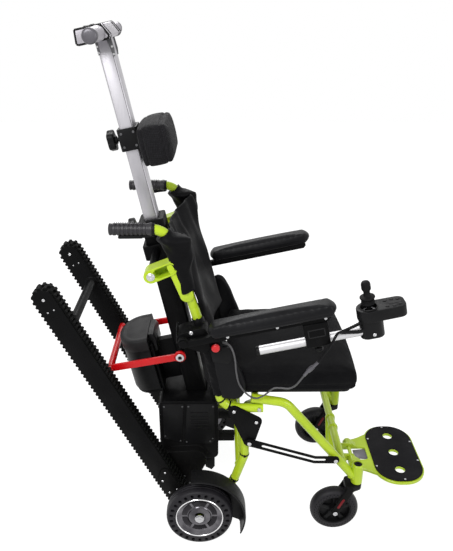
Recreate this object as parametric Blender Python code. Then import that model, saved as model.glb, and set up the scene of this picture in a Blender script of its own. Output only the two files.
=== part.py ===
"""Stair climbing wheelchair: a power chair docked to a climber with two toothed tracks.

X points forward, Y to the sitter's left and Z up. The origin lies on the floor under the middle of the object.
Lengths are metres. Places written as (x, z) or (x, y, z) are measured from the rear axle's foot on the floor.
"""

import math

import bmesh
import bpy
from mathutils import Matrix, Vector

# Clearances
FIT = 0.0004  # between pieces that rest on each other
RUN = 0.0007  # round turning and sliding pieces

# Working allowances
SINK = 0.001  # how far a joined shape reaches into the one that carries it
PAST = 0.010  # how far a cutter reaches past what it cuts
CUTTER = 0.200  # half length of a cutter that goes right through

# Place of the rear axle in the object's frame
REAR_AXLE_X = -0.1458

# Frame tubes
TUBE_R = 0.0135
TUBE_BEND = 0.055
FRAME_Y = 0.212
CROSS_R = 0.0122
RAIL_START = (0.155, 0.489)
LEG_BEND = (0.2576, 0.4717)
CROSS_X = 0.44
HEAD_X = 0.488
HEAD_R = 0.0175
HEAD_LOW = 0.177
HEAD_TOP = 0.246
HEAD_CHAMFER = (0.003, 0.004)
LEG_JOIN = 0.0082  # above the head tube's foot, where the leg's axis meets it
STEM_R = 0.008
STEM_TOP = 0.232
REAR_LEG = ((0.135, 0.430), (0.138, 0.285), (0.105, 0.185))
REAR_LEG_END_X = 0.012
REAR_CROSS_Z = 0.240
SEAT_RAIL_Z = 0.4545
SEAT_RAIL_END_X = 0.190
SEAT_CROSS_XS = (0.105, 0.170)
SEAT_CROSS_R = 0.011
LOWER_BACK_TOP_Z = 0.690
LOWER_BACK_TOP_X = 0.0239
LOWER_BACK_FOOT_X = 0.0713

# Upper back
BACK_FOOT = (0.001, 0.756)  # a point on the back tube's axis
BACK_TILT = math.radians(16.07)
BACK_END_Z = 0.714
GRIP_Z = 1.010
GRIP_REAR_X = -0.2235
GRIP_LENGTH = 0.1125
GRIP_R = 0.0165
GRIP_WALL = 0.003
GRIP_RIBS = 3
GRIP_RIB_DEPTH = 0.0012
GRIP_RIB_SLOPE = 0.4  # share of a rib's pitch
GRIP_PLAIN = 0.012  # smooth stretch at each end
GRIP_EDGE = 0.003

# Back hinge block and armrest pivot
HINGE_IN = 0.0180  # from the tubes' middle plane inwards
HINGE_OUT = 0.0435
HINGE_EYE_R = 0.020
HINGE_UPPER = (-0.004, 0.021, 0.0185)  # offsets and radius about the upper tube's end
HINGE_LOWER = (-0.005, -0.018, 0.0195)  # and about the lower tube's
ARM_PIVOT = (-0.034, 0.707)
ARM_TILT = math.radians(12.0)
ARM_PIN_R = 0.0065
ARM_PIN_HEAD_R = 0.011
ARM_PIN_HEAD = 0.005
ARM_PIN_SINK = 0.003
ARM_BAR_W = 0.022
ARM_EYE_R = 0.015
ARM_BAR_TOP = 0.0045
ARM_BAR_LOW = -0.0130
ARM_BAR_END = 0.400
ARM_BAR_CHAMFER = 0.008
PAD_START = 0.070
PAD_END = 0.420
PAD_W = 0.060
PAD_T = 0.038
PAD_OUT = 0.0068  # from the bar's middle outwards
PAD_CROWN = 0.003
PAD_DRAWN = 0.02
PAD_SOFTNESS = 0.3

# Joystick, in the armrest's own axes
STICK_TUBE_R = 0.0125
STICK_TUBE_Z = -0.069
STICK_TUBE_START = 0.185
STICK_TUBE_EDGE = 0.003
STICK_CLAMP = (0.322, 0.388)
STICK_CLAMP_W = 0.034
STICK_CLAMP_WALL = 0.0045
STICK_CLAMP_EDGE = 0.008
STICK_X = 0.502
STICK_POD_R = 0.034
STICK_POD_T = 0.032
STICK_PANEL_X = 0.578
STICK_PANEL_R = 0.020
STICK_NECK_R = 0.0215
STICK_NECK_SPAN = (-0.010, 0.012)  # about the stick, along the armrest
STICK_POD_EDGE = 0.002
STICK_TAIL_R = 0.0055
STICK_TAIL = ((-0.012, -0.012, -0.062), (-0.040, -0.0195, -0.058), (-0.0855, -0.0205, -0.049))
STICK_NECK_LOW = -0.088
STICK_SOCKET = 0.018
GIMBAL_Z = -0.012
GIMBAL_R = 0.018
GIMBAL_BORE_R = 0.0125
GIMBAL_T = 0.006
GIMBAL_PIN_R = 0.002
GIMBAL_PIN_SINK = 0.002
STICK_PIN_GAP = 0.0006
WELL_R = 0.022
WELL_DEPTH = 0.026
STICK_ROD_R = 0.005
STICK_SKIRT_R = 0.019
STICK_FLANGE_R = 0.0205
STICK_KNOB_R = 0.0125
STICK_TOP = 0.076
STICK_ROD_LOW = 0.006  # below the gimbal's middle
STICK_SKIRT = (0.010, 0.012, 0.019, 0.022)  # heights above the panel
STICK_FLANGE = (0.027, 0.031, 0.034)
STICK_WAIST = (0.010, 0.0085)
STICK_KNOB = (0.045, 0.052)
STICK_KNOB_EDGE = (0.004, 0.008)
STICK_SKIRT_TAPER = (0.001, 0.003)

# Stop button on the right hinge block
STOP_PLACE = (0.052, 0.685)
STOP_BOX = (0.018, 0.070, 0.668, 0.704)
STOP_BOX_DEPTH = 0.0265
STOP_BOX_SET = 0.001  # behind the hinge block's face
STOP_BOX_EDGE = 0.006
STOP_BOX_WALL = 0.006
STOP_STEM_R = 0.006
STOP_CAP_R = 0.0115
STOP_CAP_T = 0.011
STOP_CAP_EDGE = 0.004
STOP_TRAVEL = 0.004

# Rear wheels
WHEEL_R = 0.1018
WHEEL_W = 0.050
WHEEL_Y = 0.260
RIM_R = 0.0735
TYRE_SHOULDER = 0.010
TYRE_HOLES = 12
TYRE_HOLE_R = 0.0062
TYRE_HOLE_SHARE = 0.47  # of the way from the rim to the tread
HUB_SET = 0.0005  # behind the tyre's face
HUB_BACK = 0.004
HUB_EDGE = 0.002
HUB_LIP = 0.008
HUB_WALL = 0.012
HUB_DISH = (0.007, 0.006)
HUB_CAP_R = (0.036, 0.029)
AXLE_R = 0.008
AXLE_BOSS_R = 0.021
AXLE_NUT_R = 0.014
AXLE_NUT_T = 0.007
AXLE_BOSS_GAP = 0.003

# Mudguards
GUARD_R = 0.142
GUARD_T = 0.004
GUARD_SKIRT_R = 0.088
GUARD_OUT_Y = 0.289
GUARD_GAP = 0.0065  # from the wheel's inner face
GUARD_WALL = 0.003
GUARD_FROM = math.radians(-25)
GUARD_TO = math.radians(100)
GUARD_BOSS_X = 0.075
GUARD_BOSS_R = 0.006

# Castors
CASTOR_R = 0.076
CASTOR_W = 0.040
CASTOR_TRAIL = 0.064
CASTOR_AXLE_R = 0.005
CASTOR_SPOKES = 5
CASTOR_BOSS_R = (0.014, 0.017)
CASTOR_WEB = 0.006  # half its thickness
CASTOR_RIM_R = (0.050, 0.054)
CASTOR_SHOULDER = 0.008
CASTOR_WINDOW_RING = 0.033
CASTOR_WINDOW_R = 0.0115
FORK_T = 0.005
FORK_GAP = 0.0025
FORK_CROWN_LOW = 0.1545
FORK_HEAD_R = 0.009
FORK_HEAD_T = 0.004
FORK_CROWN_R = 0.0165
FORK_CROWN_BACK = 0.024
FORK_SHOULDER_R = 0.013
FORK_LEG_TOP = (-0.022, 0.009, 0.0115)  # offsets from the crown's foot, and radius
FORK_EYE_R = 0.013
FORK_STEM_SINK = 0.004

# Footrest
FOOT_HINGE = (0.512, 0.122)
FOOT_DROP_X = 0.446
FOOT_PIN_R = 0.006
FOOT_ARM_Y = 0.028
FOOT_ARM_T = 0.008
FOOT_ARM_TOP_R = 0.016
FOOT_ELBOW_R = 0.013
FOOT_EYE_R = 0.012
FOOT_KNUCKLE_W = 0.026
FOOT_KNUCKLE_REACH = 0.030
FOOT_KNUCKLE_TIP_R = 0.0045
FOOT_NECK_X = 0.500
FOOT_NECK_HALF_W = 0.100
FOOT_WINDOW_X = 0.570
CASTOR_SWING_R = 0.1425
FOOT_X = (0.578, 0.747)
FOOT_HALF_W = 0.150
FOOT_CORNER_R = 0.078
FOOT_TOP = 0.115
FOOT_T = 0.010
TREAD_T = 0.003
TREAD_INSET = 0.005
FOOT_HOLE_R = 0.0165
FOOT_HOLE_STEP = 0.089
FOOT_HOLE_X = 0.664

# Seat and back
SEAT_X = (0.080, 0.476)
SEAT_HALF_W = 0.225
SEAT_LOW = 0.5075
SEAT_T = 0.0675
SEAT_CROWN = 0.008
SEAT_DRAWN = 0.008  # share by which the sides are drawn in
SEAT_SOFTNESS = 0.2
PAN_X = (0.092, 0.450)
PAN_HALF_W = 0.193
PAN_T = 0.012
PAN_CORNER_R = 0.020
PAN_RIB_SET = 0.003
PAN_RIB_Y = 0.120
PAN_RIB_T = 0.016
PAN_RIB_END_X = 0.300
BACK_TOP = 0.246
BACK_LOW = -0.150
BACK_WRAP = 0.010  # past the tubes' axes
BACK_DOCK_GAP = 0.0015
BACK_STEP = 0.070  # above this height the back reaches over the tubes
BACK_T = 0.022
BACK_THINNING = 0.45  # share lost at the rim
SLEEVE_R = 0.0172
SLEEVE_LOW_Z = 0.8480
BACK_SAG = 0.034
BACK_SAG_SPAN = 0.75  # share of the width that sags

# Pivot plates and strut links
PLATE_T = 0.005
PLATE_CORNERS = ((0.104, 0.456), (0.170, 0.418), (0.150, 0.346))
PLATE_CORNER_R = 0.017
BOLT_R = 0.006
BOLT_T = 0.004
STRUT_T = 0.006
STRUT_END_R = 0.012
STRUT_ELBOW = 0.76  # share of the way from the rear bolt to the front one
STRUT_DROP = 0.015  # how far the elbow lies under the line between the bolts
STRUT_SLOT_R = 0.005
STRUT_SLOT = (0.21, 0.46)  # shares of the stretches before and after the elbow
STRUT_BOLT_R = 0.008
STRUT_FRONT_X = 0.412
STRUT_BOSS_R = 0.008

# Climber column, in axes that lean with it from this foot
COLUMN_FOOT = (-0.0225, 0.450)
COLUMN_TILT = math.radians(11.9)
COLUMN_HALF = (0.032, 0.038)
COLUMN_CORNER_R = 0.008
COLUMN_LOW = -0.090
COLUMN_TOP = 0.5360
COLLAR_HALF = (0.037, 0.043)
COLLAR_H = 0.046
COLLAR_CORNER_R = 0.010
MAST_HALF = (0.020, 0.028)
MAST_WALL = 0.003
MAST_CORNER_R = 0.005
MAST_CAP = 0.010
MAST_LOW = 0.332
MAST_TOP = 1.0325
MAST_TRAVEL = 0.120
YOKE_SHAFT_Z = 0.133
YOKE_SHAFT_X = -0.005
YOKE_SHAFT_R = 0.010
YOKE_PIN_R = 0.007
YOKE_HEAD_R = 0.012
YOKE_HEAD_T = 0.004
YOKE_SHAFT_SINK = 0.010  # from the column's middle plane
TRAY_HALF_W = 0.072
TRAY_T = 0.012
TRAY_INSET = 0.004
TRAY_AHEAD = 0.005
TRAY_PLATE_T = 0.009
TRAY_PLATE_DROP = 0.030  # below the battery's top
TRAY_WEB_HALF_W = 0.014
TRAY_WEB_DROP = 0.050
TRAY_SINK = 0.004
BATTERY_X = (-0.190, -0.098)
BATTERY_HALF_W = 0.088
BATTERY_LOW = 0.010
BATTERY_TOP = 0.190
LID_H = 0.036
LID_RIM = 0.003
LID_EDGE = 0.006
LID_GROOVE = 0.0021
BATTERY_STRAIGHT = 0.020  # flat part of the sides
BATTERY_FULLNESS = 0.8

# Handle, headrest and knobs, in the column's axes
CONSOLE_HALF_W = 0.100
CONSOLE = ((-0.055, 1.036), (-0.051, 1.071), (0.0165, 1.071), (0.0325, 1.040), (0.026, 1.033),
           (-0.050, 1.033))
BAR_X = 0.004
BAR_Z = 1.0505
BAR_R = 0.010
BAR_GRIP_R = 0.0185
BAR_HALF_W = 0.212
BAR_EDGE_IN = 0.002
BAR_EDGE_OUT = 0.005
SWITCH_X = -0.030
SWITCH_HALF = (0.011, 0.022)
SWITCH_T = 0.010
SWITCH_SINK = 0.007
SWITCH_GAP = 0.0015
SWITCH_FLOOR = 0.002
SWITCH_WAIST = 0.6  # share of the half width at its foot
SWITCH_DISH = 0.001
SWITCH_RIM = 0.002
CLAMP_HALF = (0.028, 0.038)
CLAMP_Z = (0.742, 0.803)
CLAMP_CORNER_R = 0.006
HEADREST_X = 0.090
HEADREST_HALF_W = 0.113
HEADREST_Z = (0.694, 0.812)
HEADREST_DRAWN = 0.02
HEADREST_SOFTNESS = 0.38
KNOB_R = 0.030
KNOB_T = 0.020
KNOB_STEM_R = 0.006
KNOB_STEM = 0.014
KNOB_LOBES = 5
KNOB_LOBE_DEPTH = 0.004

# Dock bracket
DOCK_Z = (0.420, 0.464)
DOCK_WALL = 0.011
DOCK_STUB_R = 0.012
DOCK_BOSS = (-0.119, 0.883)
DOCK_EYE_R = 0.019
DOCK_ARM = (-0.066, 0.905, 0.018)
DOCK_LEG = ((-0.062, 0.912, 0.014), (-0.0245, 0.826, 0.0185))
DOCK_WINDOW = ((-0.090, 0.895, 0.007), (-0.074, 0.900, 0.007))
DOCK_IN = 0.0250  # from the tubes' middle plane inwards
DOCK_OUT = 0.0205
DOCK_STUB_SINK = 0.004
DOCK_CORNER_R = 0.010

# Drive housing
HOUSING_X = (-0.128, 0.058)
HOUSING_Z = (0.180, 0.400)
HOUSING_HALF_W = 0.100
HOUSING_CORNER_R = 0.018
GEARBOX_HALF_W = 0.128
GEARBOX_R = 0.044
GEARBOX_TOP = ((-0.020, 0.040), (-0.085, 0.036))  # x and radius of its upper rounds
GEARBOX_RISE = 0.012  # of those rounds above the housing's foot
HOOK_Y = 0.060
HOOK_T = 0.024
HOOK_HALF_H = 0.014
HOOK_SINK = 0.004

# Tracks, in axes that lean with them from the drive shaft
TRACK_FOOT = (-0.069, 0.1018)
TRACK_TILT = math.radians(26.7)
TRACK_LENGTH = 0.7801
TRACK_Y = 0.171
TRACK_W = 0.049
TRACK_PLATE_T = 0.0035
TRACK_PLATE_R = 0.0290
BEAM_GAP = 0.002  # inside the belt
BEAM_END = 0.012  # from the pulleys
BEAM_CORNER_R = 0.004
TRACK_BRACKET = ((-0.010, 0.085, 0.016), (0.012, 0.110, 0.014), (0.014, 0.035, 0.012),
                 (-0.012, 0.035, 0.012))
TRACK_BRACKET_T = 0.004
SHAFT_STICK_OUT = 0.008
BELT_IN_R = 0.0250
BELT_T = 0.0050
LUG_H = 0.0060
LUGS = 80
LUG_TIP = 0.36
PULLEY_R = 0.0221
SHAFT_R = 0.010
IDLER_PIN_R = 0.006
TRACK_TIE_X = 0.012
TRACK_TIE_SHARE = 0.855  # of the track's length
TRACK_TIE_R = 0.0135
TRACK_TIE_FLANGE_R = 0.019
TRACK_TIE_FLANGE_T = 0.004

# Lift yoke, measured from its shaft
YOKE_IN_Y = 0.1225
YOKE_T = 0.008
YOKE_EYE_R = 0.0175
YOKE_REACH = (-0.210, -0.039)
YOKE_DEPTH = 0.022
YOKE_BAR_SET = 0.0005  # the cross bar within the arms' ends

# Joystick cable
CABLE_R = 0.003
CONNECTOR_R = 0.0075
CONNECTOR_SPAN = (6, 10)  # steps of the smoothed route that it covers
CABLE_ROUTE = (
    (0.3818, -0.2880, 0.7457), (0.3745, -0.2885, 0.7395), (0.3585, -0.2900, 0.7050), (0.3300, -0.2850, 0.6530),
    (0.3060, -0.2750, 0.6185), (0.2890, -0.2640, 0.5840), (0.2765, -0.2550, 0.5590), (0.2580, -0.2490, 0.5445),
    (0.2360, -0.2460, 0.5443), (0.2140, -0.2440, 0.5410), (0.1900, -0.2380, 0.5150), (0.1650, -0.2350, 0.5030),
    (0.1400, -0.2360, 0.5190), (0.1180, -0.2420, 0.5560), (0.1090, -0.2460, 0.6000), (0.1055, -0.2480, 0.6400),
    (0.0980, -0.2480, 0.6700), (0.0870, -0.2450, 0.6860), (0.0706, -0.2420, 0.6900),
)


def remove_old_objects():
    for old in list(bpy.data.objects):
        bpy.data.objects.remove(old, do_unlink=True)


def paint(name, colour, roughness, metallic=0.0):
    made = bpy.data.materials.new(name)
    made.use_nodes = True
    shader = made.node_tree.nodes["Principled BSDF"]
    shader.inputs["Base Color"].default_value = (*colour, 1.0)
    shader.inputs["Roughness"].default_value = roughness
    shader.inputs["Metallic"].default_value = metallic
    made.diffuse_color = (*colour, 1.0)
    return made


def axes(name, parent, place, tilt=0.0):
    """An empty that carries pieces; a positive tilt leans its Z axis backwards."""
    frame = bpy.data.objects.new(name, None)
    bpy.context.scene.collection.objects.link(frame)
    frame.parent = parent
    frame.location = place
    frame.rotation_euler = (0.0, -tilt, 0.0)
    return frame


def put(name, mesh, finish, parent, place=(0.0, 0.0, 0.0)):
    piece = bpy.data.objects.new(name, mesh)
    bpy.context.scene.collection.objects.link(piece)
    mesh.materials.append(finish)
    piece.parent = parent
    piece.location = place
    return piece


def change(piece, operation, mesh, parent=None):
    """Joins or cuts a piece with a hidden shape, in the piece's own axes unless a parent is given."""
    shape = bpy.data.objects.new(piece.name + "_shape", mesh)
    bpy.context.scene.collection.objects.link(shape)
    shape.parent = parent or piece.parent
    shape.location = (0.0, 0.0, 0.0) if parent else piece.location
    shape.hide_render = True
    shape.display_type = "WIRE"
    step = piece.modifiers.new(operation.lower(), "BOOLEAN")
    step.operation = operation
    step.solver = "EXACT"
    step.object = shape


def join(piece, *meshes, parent=None):
    for mesh in meshes:
        change(piece, "UNION", mesh, parent)


def cut(piece, *meshes, parent=None):
    for mesh in meshes:
        change(piece, "DIFFERENCE", mesh, parent)


def finished(shape):
    bmesh.ops.recalc_face_normals(shape, faces=shape.faces[:])
    mesh = bpy.data.meshes.new("solid")
    shape.to_mesh(mesh)
    shape.free()
    mesh.shade_smooth()
    mesh.set_sharp_from_angle(angle=math.radians(35))
    return mesh


def together(*meshes):
    """Several separate solids as one mesh."""
    shape = bmesh.new()
    for mesh in meshes:
        shape.from_mesh(mesh)
    return finished(shape)


def spot_along(along, u, v, w):
    if along == "X":
        return (w, u, v)
    if along == "Y":
        return (u, w, v)
    return (u, v, w)


def prism(outline, low, high, along="Y"):
    """An outline pushed from low to high: (x, z) along Y, (x, y) along Z, (y, z) along X."""
    shape = bmesh.new()
    rings = [[shape.verts.new(spot_along(along, u, v, w)) for u, v in outline] for w in (low, high)]
    for ring in rings:
        shape.faces.new(ring)
    count = len(outline)
    for i in range(count):
        k = (i + 1) % count
        shape.faces.new((rings[0][i], rings[0][k], rings[1][k], rings[1][i]))
    return finished(shape)


def turned(profile, sides, along="Z", centre=(0.0, 0.0, 0.0), closed=False):
    """A profile of (radius, height) points turned round an axis; an open one starts and ends on the axis."""
    shape = bmesh.new()
    middle = Vector(centre)
    rings = []
    for radius, height in profile:
        if radius == 0.0:
            rings.append([shape.verts.new(middle + Vector(spot_along(along, 0.0, 0.0, height)))] * sides)
            continue
        ring = []
        for i in range(sides):
            angle = 2.0 * math.pi * i / sides
            u, v = radius * math.cos(angle), radius * math.sin(angle)
            ring.append(shape.verts.new(middle + Vector(spot_along(along, u, v, height))))
        rings.append(ring)
    pairs = list(zip(rings, rings[1:]))
    if closed:
        pairs.append((rings[-1], rings[0]))
    for first, second in pairs:
        for i in range(sides):
            k = (i + 1) % sides
            corners = [first[i], first[k], second[k], second[i]]
            shape.faces.new(list(dict.fromkeys(corners)))
    return finished(shape)


def rod(radius, low, high, along="Y", centre=(0.0, 0.0, 0.0), sides=12):
    return turned([(0.0, low), (radius, low), (radius, high), (0.0, high)], sides, along, centre)


def drill(radius, low, high, along="Y", centre=(0.0, 0.0, 0.0), sides=12):
    """A cutter whose flats, not its corners, lie at the radius."""
    return rod(radius / math.cos(math.pi / sides), low, high, along, centre, sides)


def swept(profile, start, stop, steps, centre):
    """A closed profile of (radius, y) points carried round the Y axis from one angle to another."""
    shape = bmesh.new()
    rings = []
    for i in range(steps + 1):
        angle = start + (stop - start) * i / steps
        across, up = math.cos(angle), math.sin(angle)
        rings.append([shape.verts.new((centre[0] + r * across, y, centre[1] + r * up)) for r, y in profile])
    for first, second in zip(rings, rings[1:]):
        for i in range(len(profile)):
            k = (i + 1) % len(profile)
            shape.faces.new((first[i], first[k], second[k], second[i]))
    shape.faces.new(rings[0])
    shape.faces.new(rings[-1])
    return finished(shape)


def tube_curve(points, radius, fineness):
    line = bpy.data.curves.new("route", "CURVE")
    line.dimensions = "3D"
    line.render_resolution_u = 0
    line.bevel_depth = radius
    line.bevel_resolution = fineness
    line.use_fill_caps = True
    spline = line.splines.new("POLY")
    spline.points.add(len(points) - 1)
    for knot, place in zip(spline.points, points):
        knot.co = (*place, 1.0)
    return line


def pipe(points, radius, fineness=3):
    """A closed tube along a route, as a mesh."""
    holder = bpy.data.objects.new("route", tube_curve(points, radius, fineness))
    raw = bpy.data.meshes.new_from_object(holder)
    bpy.data.objects.remove(holder)
    shape = bmesh.new()
    shape.from_mesh(raw)
    bmesh.ops.remove_doubles(shape, verts=shape.verts[:], dist=1e-6)
    return finished(shape)


def bent(points, radius, steps=3):
    """The route with each inner corner rounded to an arc."""
    route = [Vector(points[0])]
    for before, corner, after in zip(points, points[1:], points[2:]):
        corner = Vector(corner)
        back = Vector(before) - corner
        ahead = Vector(after) - corner
        half = back.angle(ahead) / 2.0
        trim = min(radius / math.tan(half), 0.48 * min(back.length, ahead.length))
        centre = corner + (back.normalized() + ahead.normalized()).normalized() * (trim / math.cos(half))
        arm = corner + back.normalized() * trim - centre
        other = corner + ahead.normalized() * trim - centre
        spin_axis = arm.cross(other).normalized()
        for i in range(steps + 1):
            route.append(centre + Matrix.Rotation(arm.angle(other) * i / steps, 3, spin_axis) @ arm)
    route.append(Vector(points[-1]))
    return route


def smooth_route(points, parts):
    """A smooth curve through the given points, cut into short equal steps."""
    knots = [Vector(p) for p in points]
    knots = [knots[0] * 2 - knots[1], *knots, knots[-1] * 2 - knots[-2]]
    route = []
    for a, b, c, d in zip(knots, knots[1:], knots[2:], knots[3:]):
        for i in range(parts):
            t = i / parts
            route.append(0.5 * (2 * b + (c - a) * t + (2 * a - 5 * b + 4 * c - d) * t * t
                                + (3 * b - a - 3 * c + d) * t ** 3))
    route.append(knots[-2])
    return route


def circle(x, z, radius, steps=16):
    angles = [2 * math.pi * (i + 0.5) / steps for i in range(steps)]
    return [(x + radius * math.cos(angle), z + radius * math.sin(angle)) for angle in angles]


def hull(circles, steps=16):
    """The outline of a band stretched round circles given as (x, z, radius)."""
    points = sorted({p for x, z, r in circles for p in circle(x, z, r, steps)})

    def chain(ordered):
        kept = []
        for p in ordered:
            while len(kept) > 1 and turn(kept[-2], kept[-1], p) <= 1e-9:
                kept.pop()
            kept.append(p)
        return kept[:-1]

    def turn(a, b, c):
        return (b[0] - a[0]) * (c[1] - a[1]) - (b[1] - a[1]) * (c[0] - a[0])

    return chain(points) + chain(points[::-1])


def bent_bar(first, elbow, last, radius, steps=6):
    """The outline of a flat bar with round ends that bends upwards at its elbow."""
    def heading(a, b):
        return math.atan2(b[1] - a[1], b[0] - a[0])

    def arc(centre, start, sweep):
        count = max(2, round(steps * sweep / math.pi))
        angles = [start + sweep * i / count for i in range(count + 1)]
        return [(centre[0] + radius * math.cos(angle), centre[1] + radius * math.sin(angle)) for angle in angles]

    before, after = heading(first, elbow), heading(elbow, last)
    inside = (before + after + math.pi) / 2
    reach = radius / math.cos((after - before) / 2)
    crook = (elbow[0] + reach * math.cos(inside), elbow[1] + reach * math.sin(inside))
    outer = arc(first, before + math.pi / 2, math.pi) + arc(elbow, before - math.pi / 2, after - before)
    return outer + arc(last, after - math.pi / 2, math.pi) + [crook]


def rounded(x0, x1, z0, z1, radius, steps=3):
    """A rectangle's outline with round corners."""
    outline = []
    corners = ((x1 - radius, z1 - radius, 0), (x0 + radius, z1 - radius, 1),
               (x0 + radius, z0 + radius, 2), (x1 - radius, z0 + radius, 3))
    for x, z, quarter in corners:
        for i in range(steps + 1):
            angle = math.pi / 2 * (quarter + i / steps)
            outline.append((x + radius * math.cos(angle), z + radius * math.sin(angle)))
    return outline


def block(x0, x1, y0, y1, z0, z1):
    return prism([(x0, z0), (x1, z0), (x1, z1), (x0, z1)], y0, y1)


def padded(half, cuts, crown=0.0, drawn=0.03, softness=0.3):
    """A stuffed block round the origin: soft edges, a crowned top, sides drawn in between the corners."""
    shape = bmesh.new()
    bmesh.ops.create_cube(shape, size=2.0)
    bmesh.ops.subdivide_edges(shape, edges=shape.edges[:], cuts=cuts, use_grid_fill=True)
    for vert in shape.verts:
        a, b, c = vert.co
        ball = (
            a * math.sqrt(1 - b * b / 2 - c * c / 2 + b * b * c * c / 3),
            b * math.sqrt(1 - a * a / 2 - c * c / 2 + a * a * c * c / 3),
            c * math.sqrt(1 - a * a / 2 - b * b / 2 + a * a * b * b / 3),
        )
        a2, b2, c2 = (flat + softness * (round_ - flat) for flat, round_ in zip((a, b, c), ball))
        x = half[0] * a2 * (1 - drawn * (1 - b * b) * abs(a))
        y = half[1] * b2 * (1 - drawn * (1 - a * a) * abs(b))
        lift = crown * (1 - a * a) * (1 - b * b) if c > 0 else 0.0
        vert.co = (x, y, half[2] * c2 + lift)
    reach = [max(-vert.co[i] for vert in shape.verts) for i in range(3)]
    for vert in shape.verts:
        vert.co = [vert.co[i] * half[i] / reach[i] for i in range(3)]
    return finished(shape)


def leg_z(x):
    """Height of the front leg's axis at a place along it."""
    drop = LEG_BEND[1] - HEAD_LOW - LEG_JOIN
    return LEG_BEND[1] - drop * (x - LEG_BEND[0]) / (HEAD_X - LEG_BEND[0])


def back_x(z):
    """Where the upper back tube's axis is at a height."""
    return BACK_FOOT[0] - (z - BACK_FOOT[1]) * math.tan(BACK_TILT)


def back_route(y):
    return bent([(back_x(BACK_END_Z), y, BACK_END_Z), (back_x(GRIP_Z), y, GRIP_Z),
                 (GRIP_REAR_X + GRIP_WALL, y, GRIP_Z)], TUBE_BEND)


def sleeve_route(y):
    """The stretch of the back tube under the upholstery's sleeve, from above the dock into the bend."""
    return [Vector((back_x(SLEEVE_LOW_Z), y, SLEEVE_LOW_Z)), *back_route(y)[1:4]]


def lower_back_route(y):
    return bent([(LOWER_BACK_TOP_X, y, LOWER_BACK_TOP_Z), (LOWER_BACK_FOOT_X, y, SEAT_RAIL_Z),
                 (SEAT_RAIL_END_X, y, SEAT_RAIL_Z)], TUBE_BEND)


def straight(low, high, place):
    """A cross tube's route along Y."""
    return [(place[0], low, place[1]), (place[0], high, place[1])]


HINGE_IN_Y = FRAME_Y - HINGE_IN
HINGE_OUT_Y = FRAME_Y + HINGE_OUT
DOCK_IN_Y = FRAME_Y - DOCK_IN
DOCK_OUT_Y = FRAME_Y + DOCK_OUT
PLATE_IN_Y = FRAME_Y + TUBE_R + FIT
STRUT_IN_Y = PLATE_IN_Y + PLATE_T + FIT
ARM_BAR_IN_Y = HINGE_OUT_Y + RUN
ARM_BAR_OUT_Y = ARM_BAR_IN_Y + ARM_BAR_W
WHEEL_IN_Y = WHEEL_Y - WHEEL_W / 2
WHEEL_OUT_Y = WHEEL_Y + WHEEL_W / 2
SEAT_CROSS = [(x, SEAT_RAIL_Z) for x in SEAT_CROSS_XS]
SIDES = (("right", -1.0), ("left", 1.0))


def make_front_frame(chair):
    def leg(y):
        end_x = HEAD_X - STEM_R
        corners = [(RAIL_START[0], y, RAIL_START[1]), (LEG_BEND[0], y, LEG_BEND[1]), (end_x, y, leg_z(end_x))]
        return pipe(bent(corners, TUBE_BEND), TUBE_R)

    def head(y):
        edge_in, edge_down = HEAD_CHAMFER
        cap = HEAD_TOP - edge_down
        profile = [(0.0, HEAD_LOW), (HEAD_R, HEAD_LOW), (HEAD_R, cap), (HEAD_R - edge_in, HEAD_TOP),
                   (0.0, HEAD_TOP)]
        return turned(profile, 12, "Z", (HEAD_X, y, 0.0))

    def foot_arm(y, *circles):
        return prism(hull(circles, 12), y - FOOT_ARM_T / 2, y + FOOT_ARM_T / 2)

    def strut_boss(side):
        return rod(STRUT_BOSS_R, side * FRAME_Y, side * (STRUT_IN_Y - FIT), "Y",
                   (STRUT_FRONT_X, 0.0, leg_z(STRUT_FRONT_X)), 10)

    ys = [side * FRAME_Y for _, side in SIDES]
    frame = put("front_frame", pipe(straight(*ys, (CROSS_X, leg_z(CROSS_X))), CROSS_R), LIME, chair)
    join(frame, together(*[leg(y) for y in ys]))
    join(frame, together(*[head(y) for y in ys]))
    join(frame, together(*[strut_boss(side) for _, side in SIDES]))
    elbow = (FOOT_DROP_X, FOOT_HINGE[1], FOOT_ELBOW_R)
    drop = ((CROSS_X, leg_z(CROSS_X), FOOT_ARM_TOP_R), elbow)
    ahead = (elbow, (*FOOT_HINGE, FOOT_EYE_R))
    for circles in (drop, ahead):
        join(frame, together(foot_arm(-FOOT_ARM_Y, *circles), foot_arm(FOOT_ARM_Y, *circles)))
    reach = FOOT_ARM_Y + FOOT_ARM_T / 2 + FOOT_KNUCKLE_W
    join(frame, rod(FOOT_PIN_R, -reach, reach, "Y", (FOOT_HINGE[0], 0.0, FOOT_HINGE[1]), 10))
    bores = [drill(STEM_R + RUN, HEAD_LOW - PAST, STEM_TOP + RUN, "Z", (HEAD_X, y, 0.0), 12) for y in ys]
    cut(frame, together(*bores))


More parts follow.
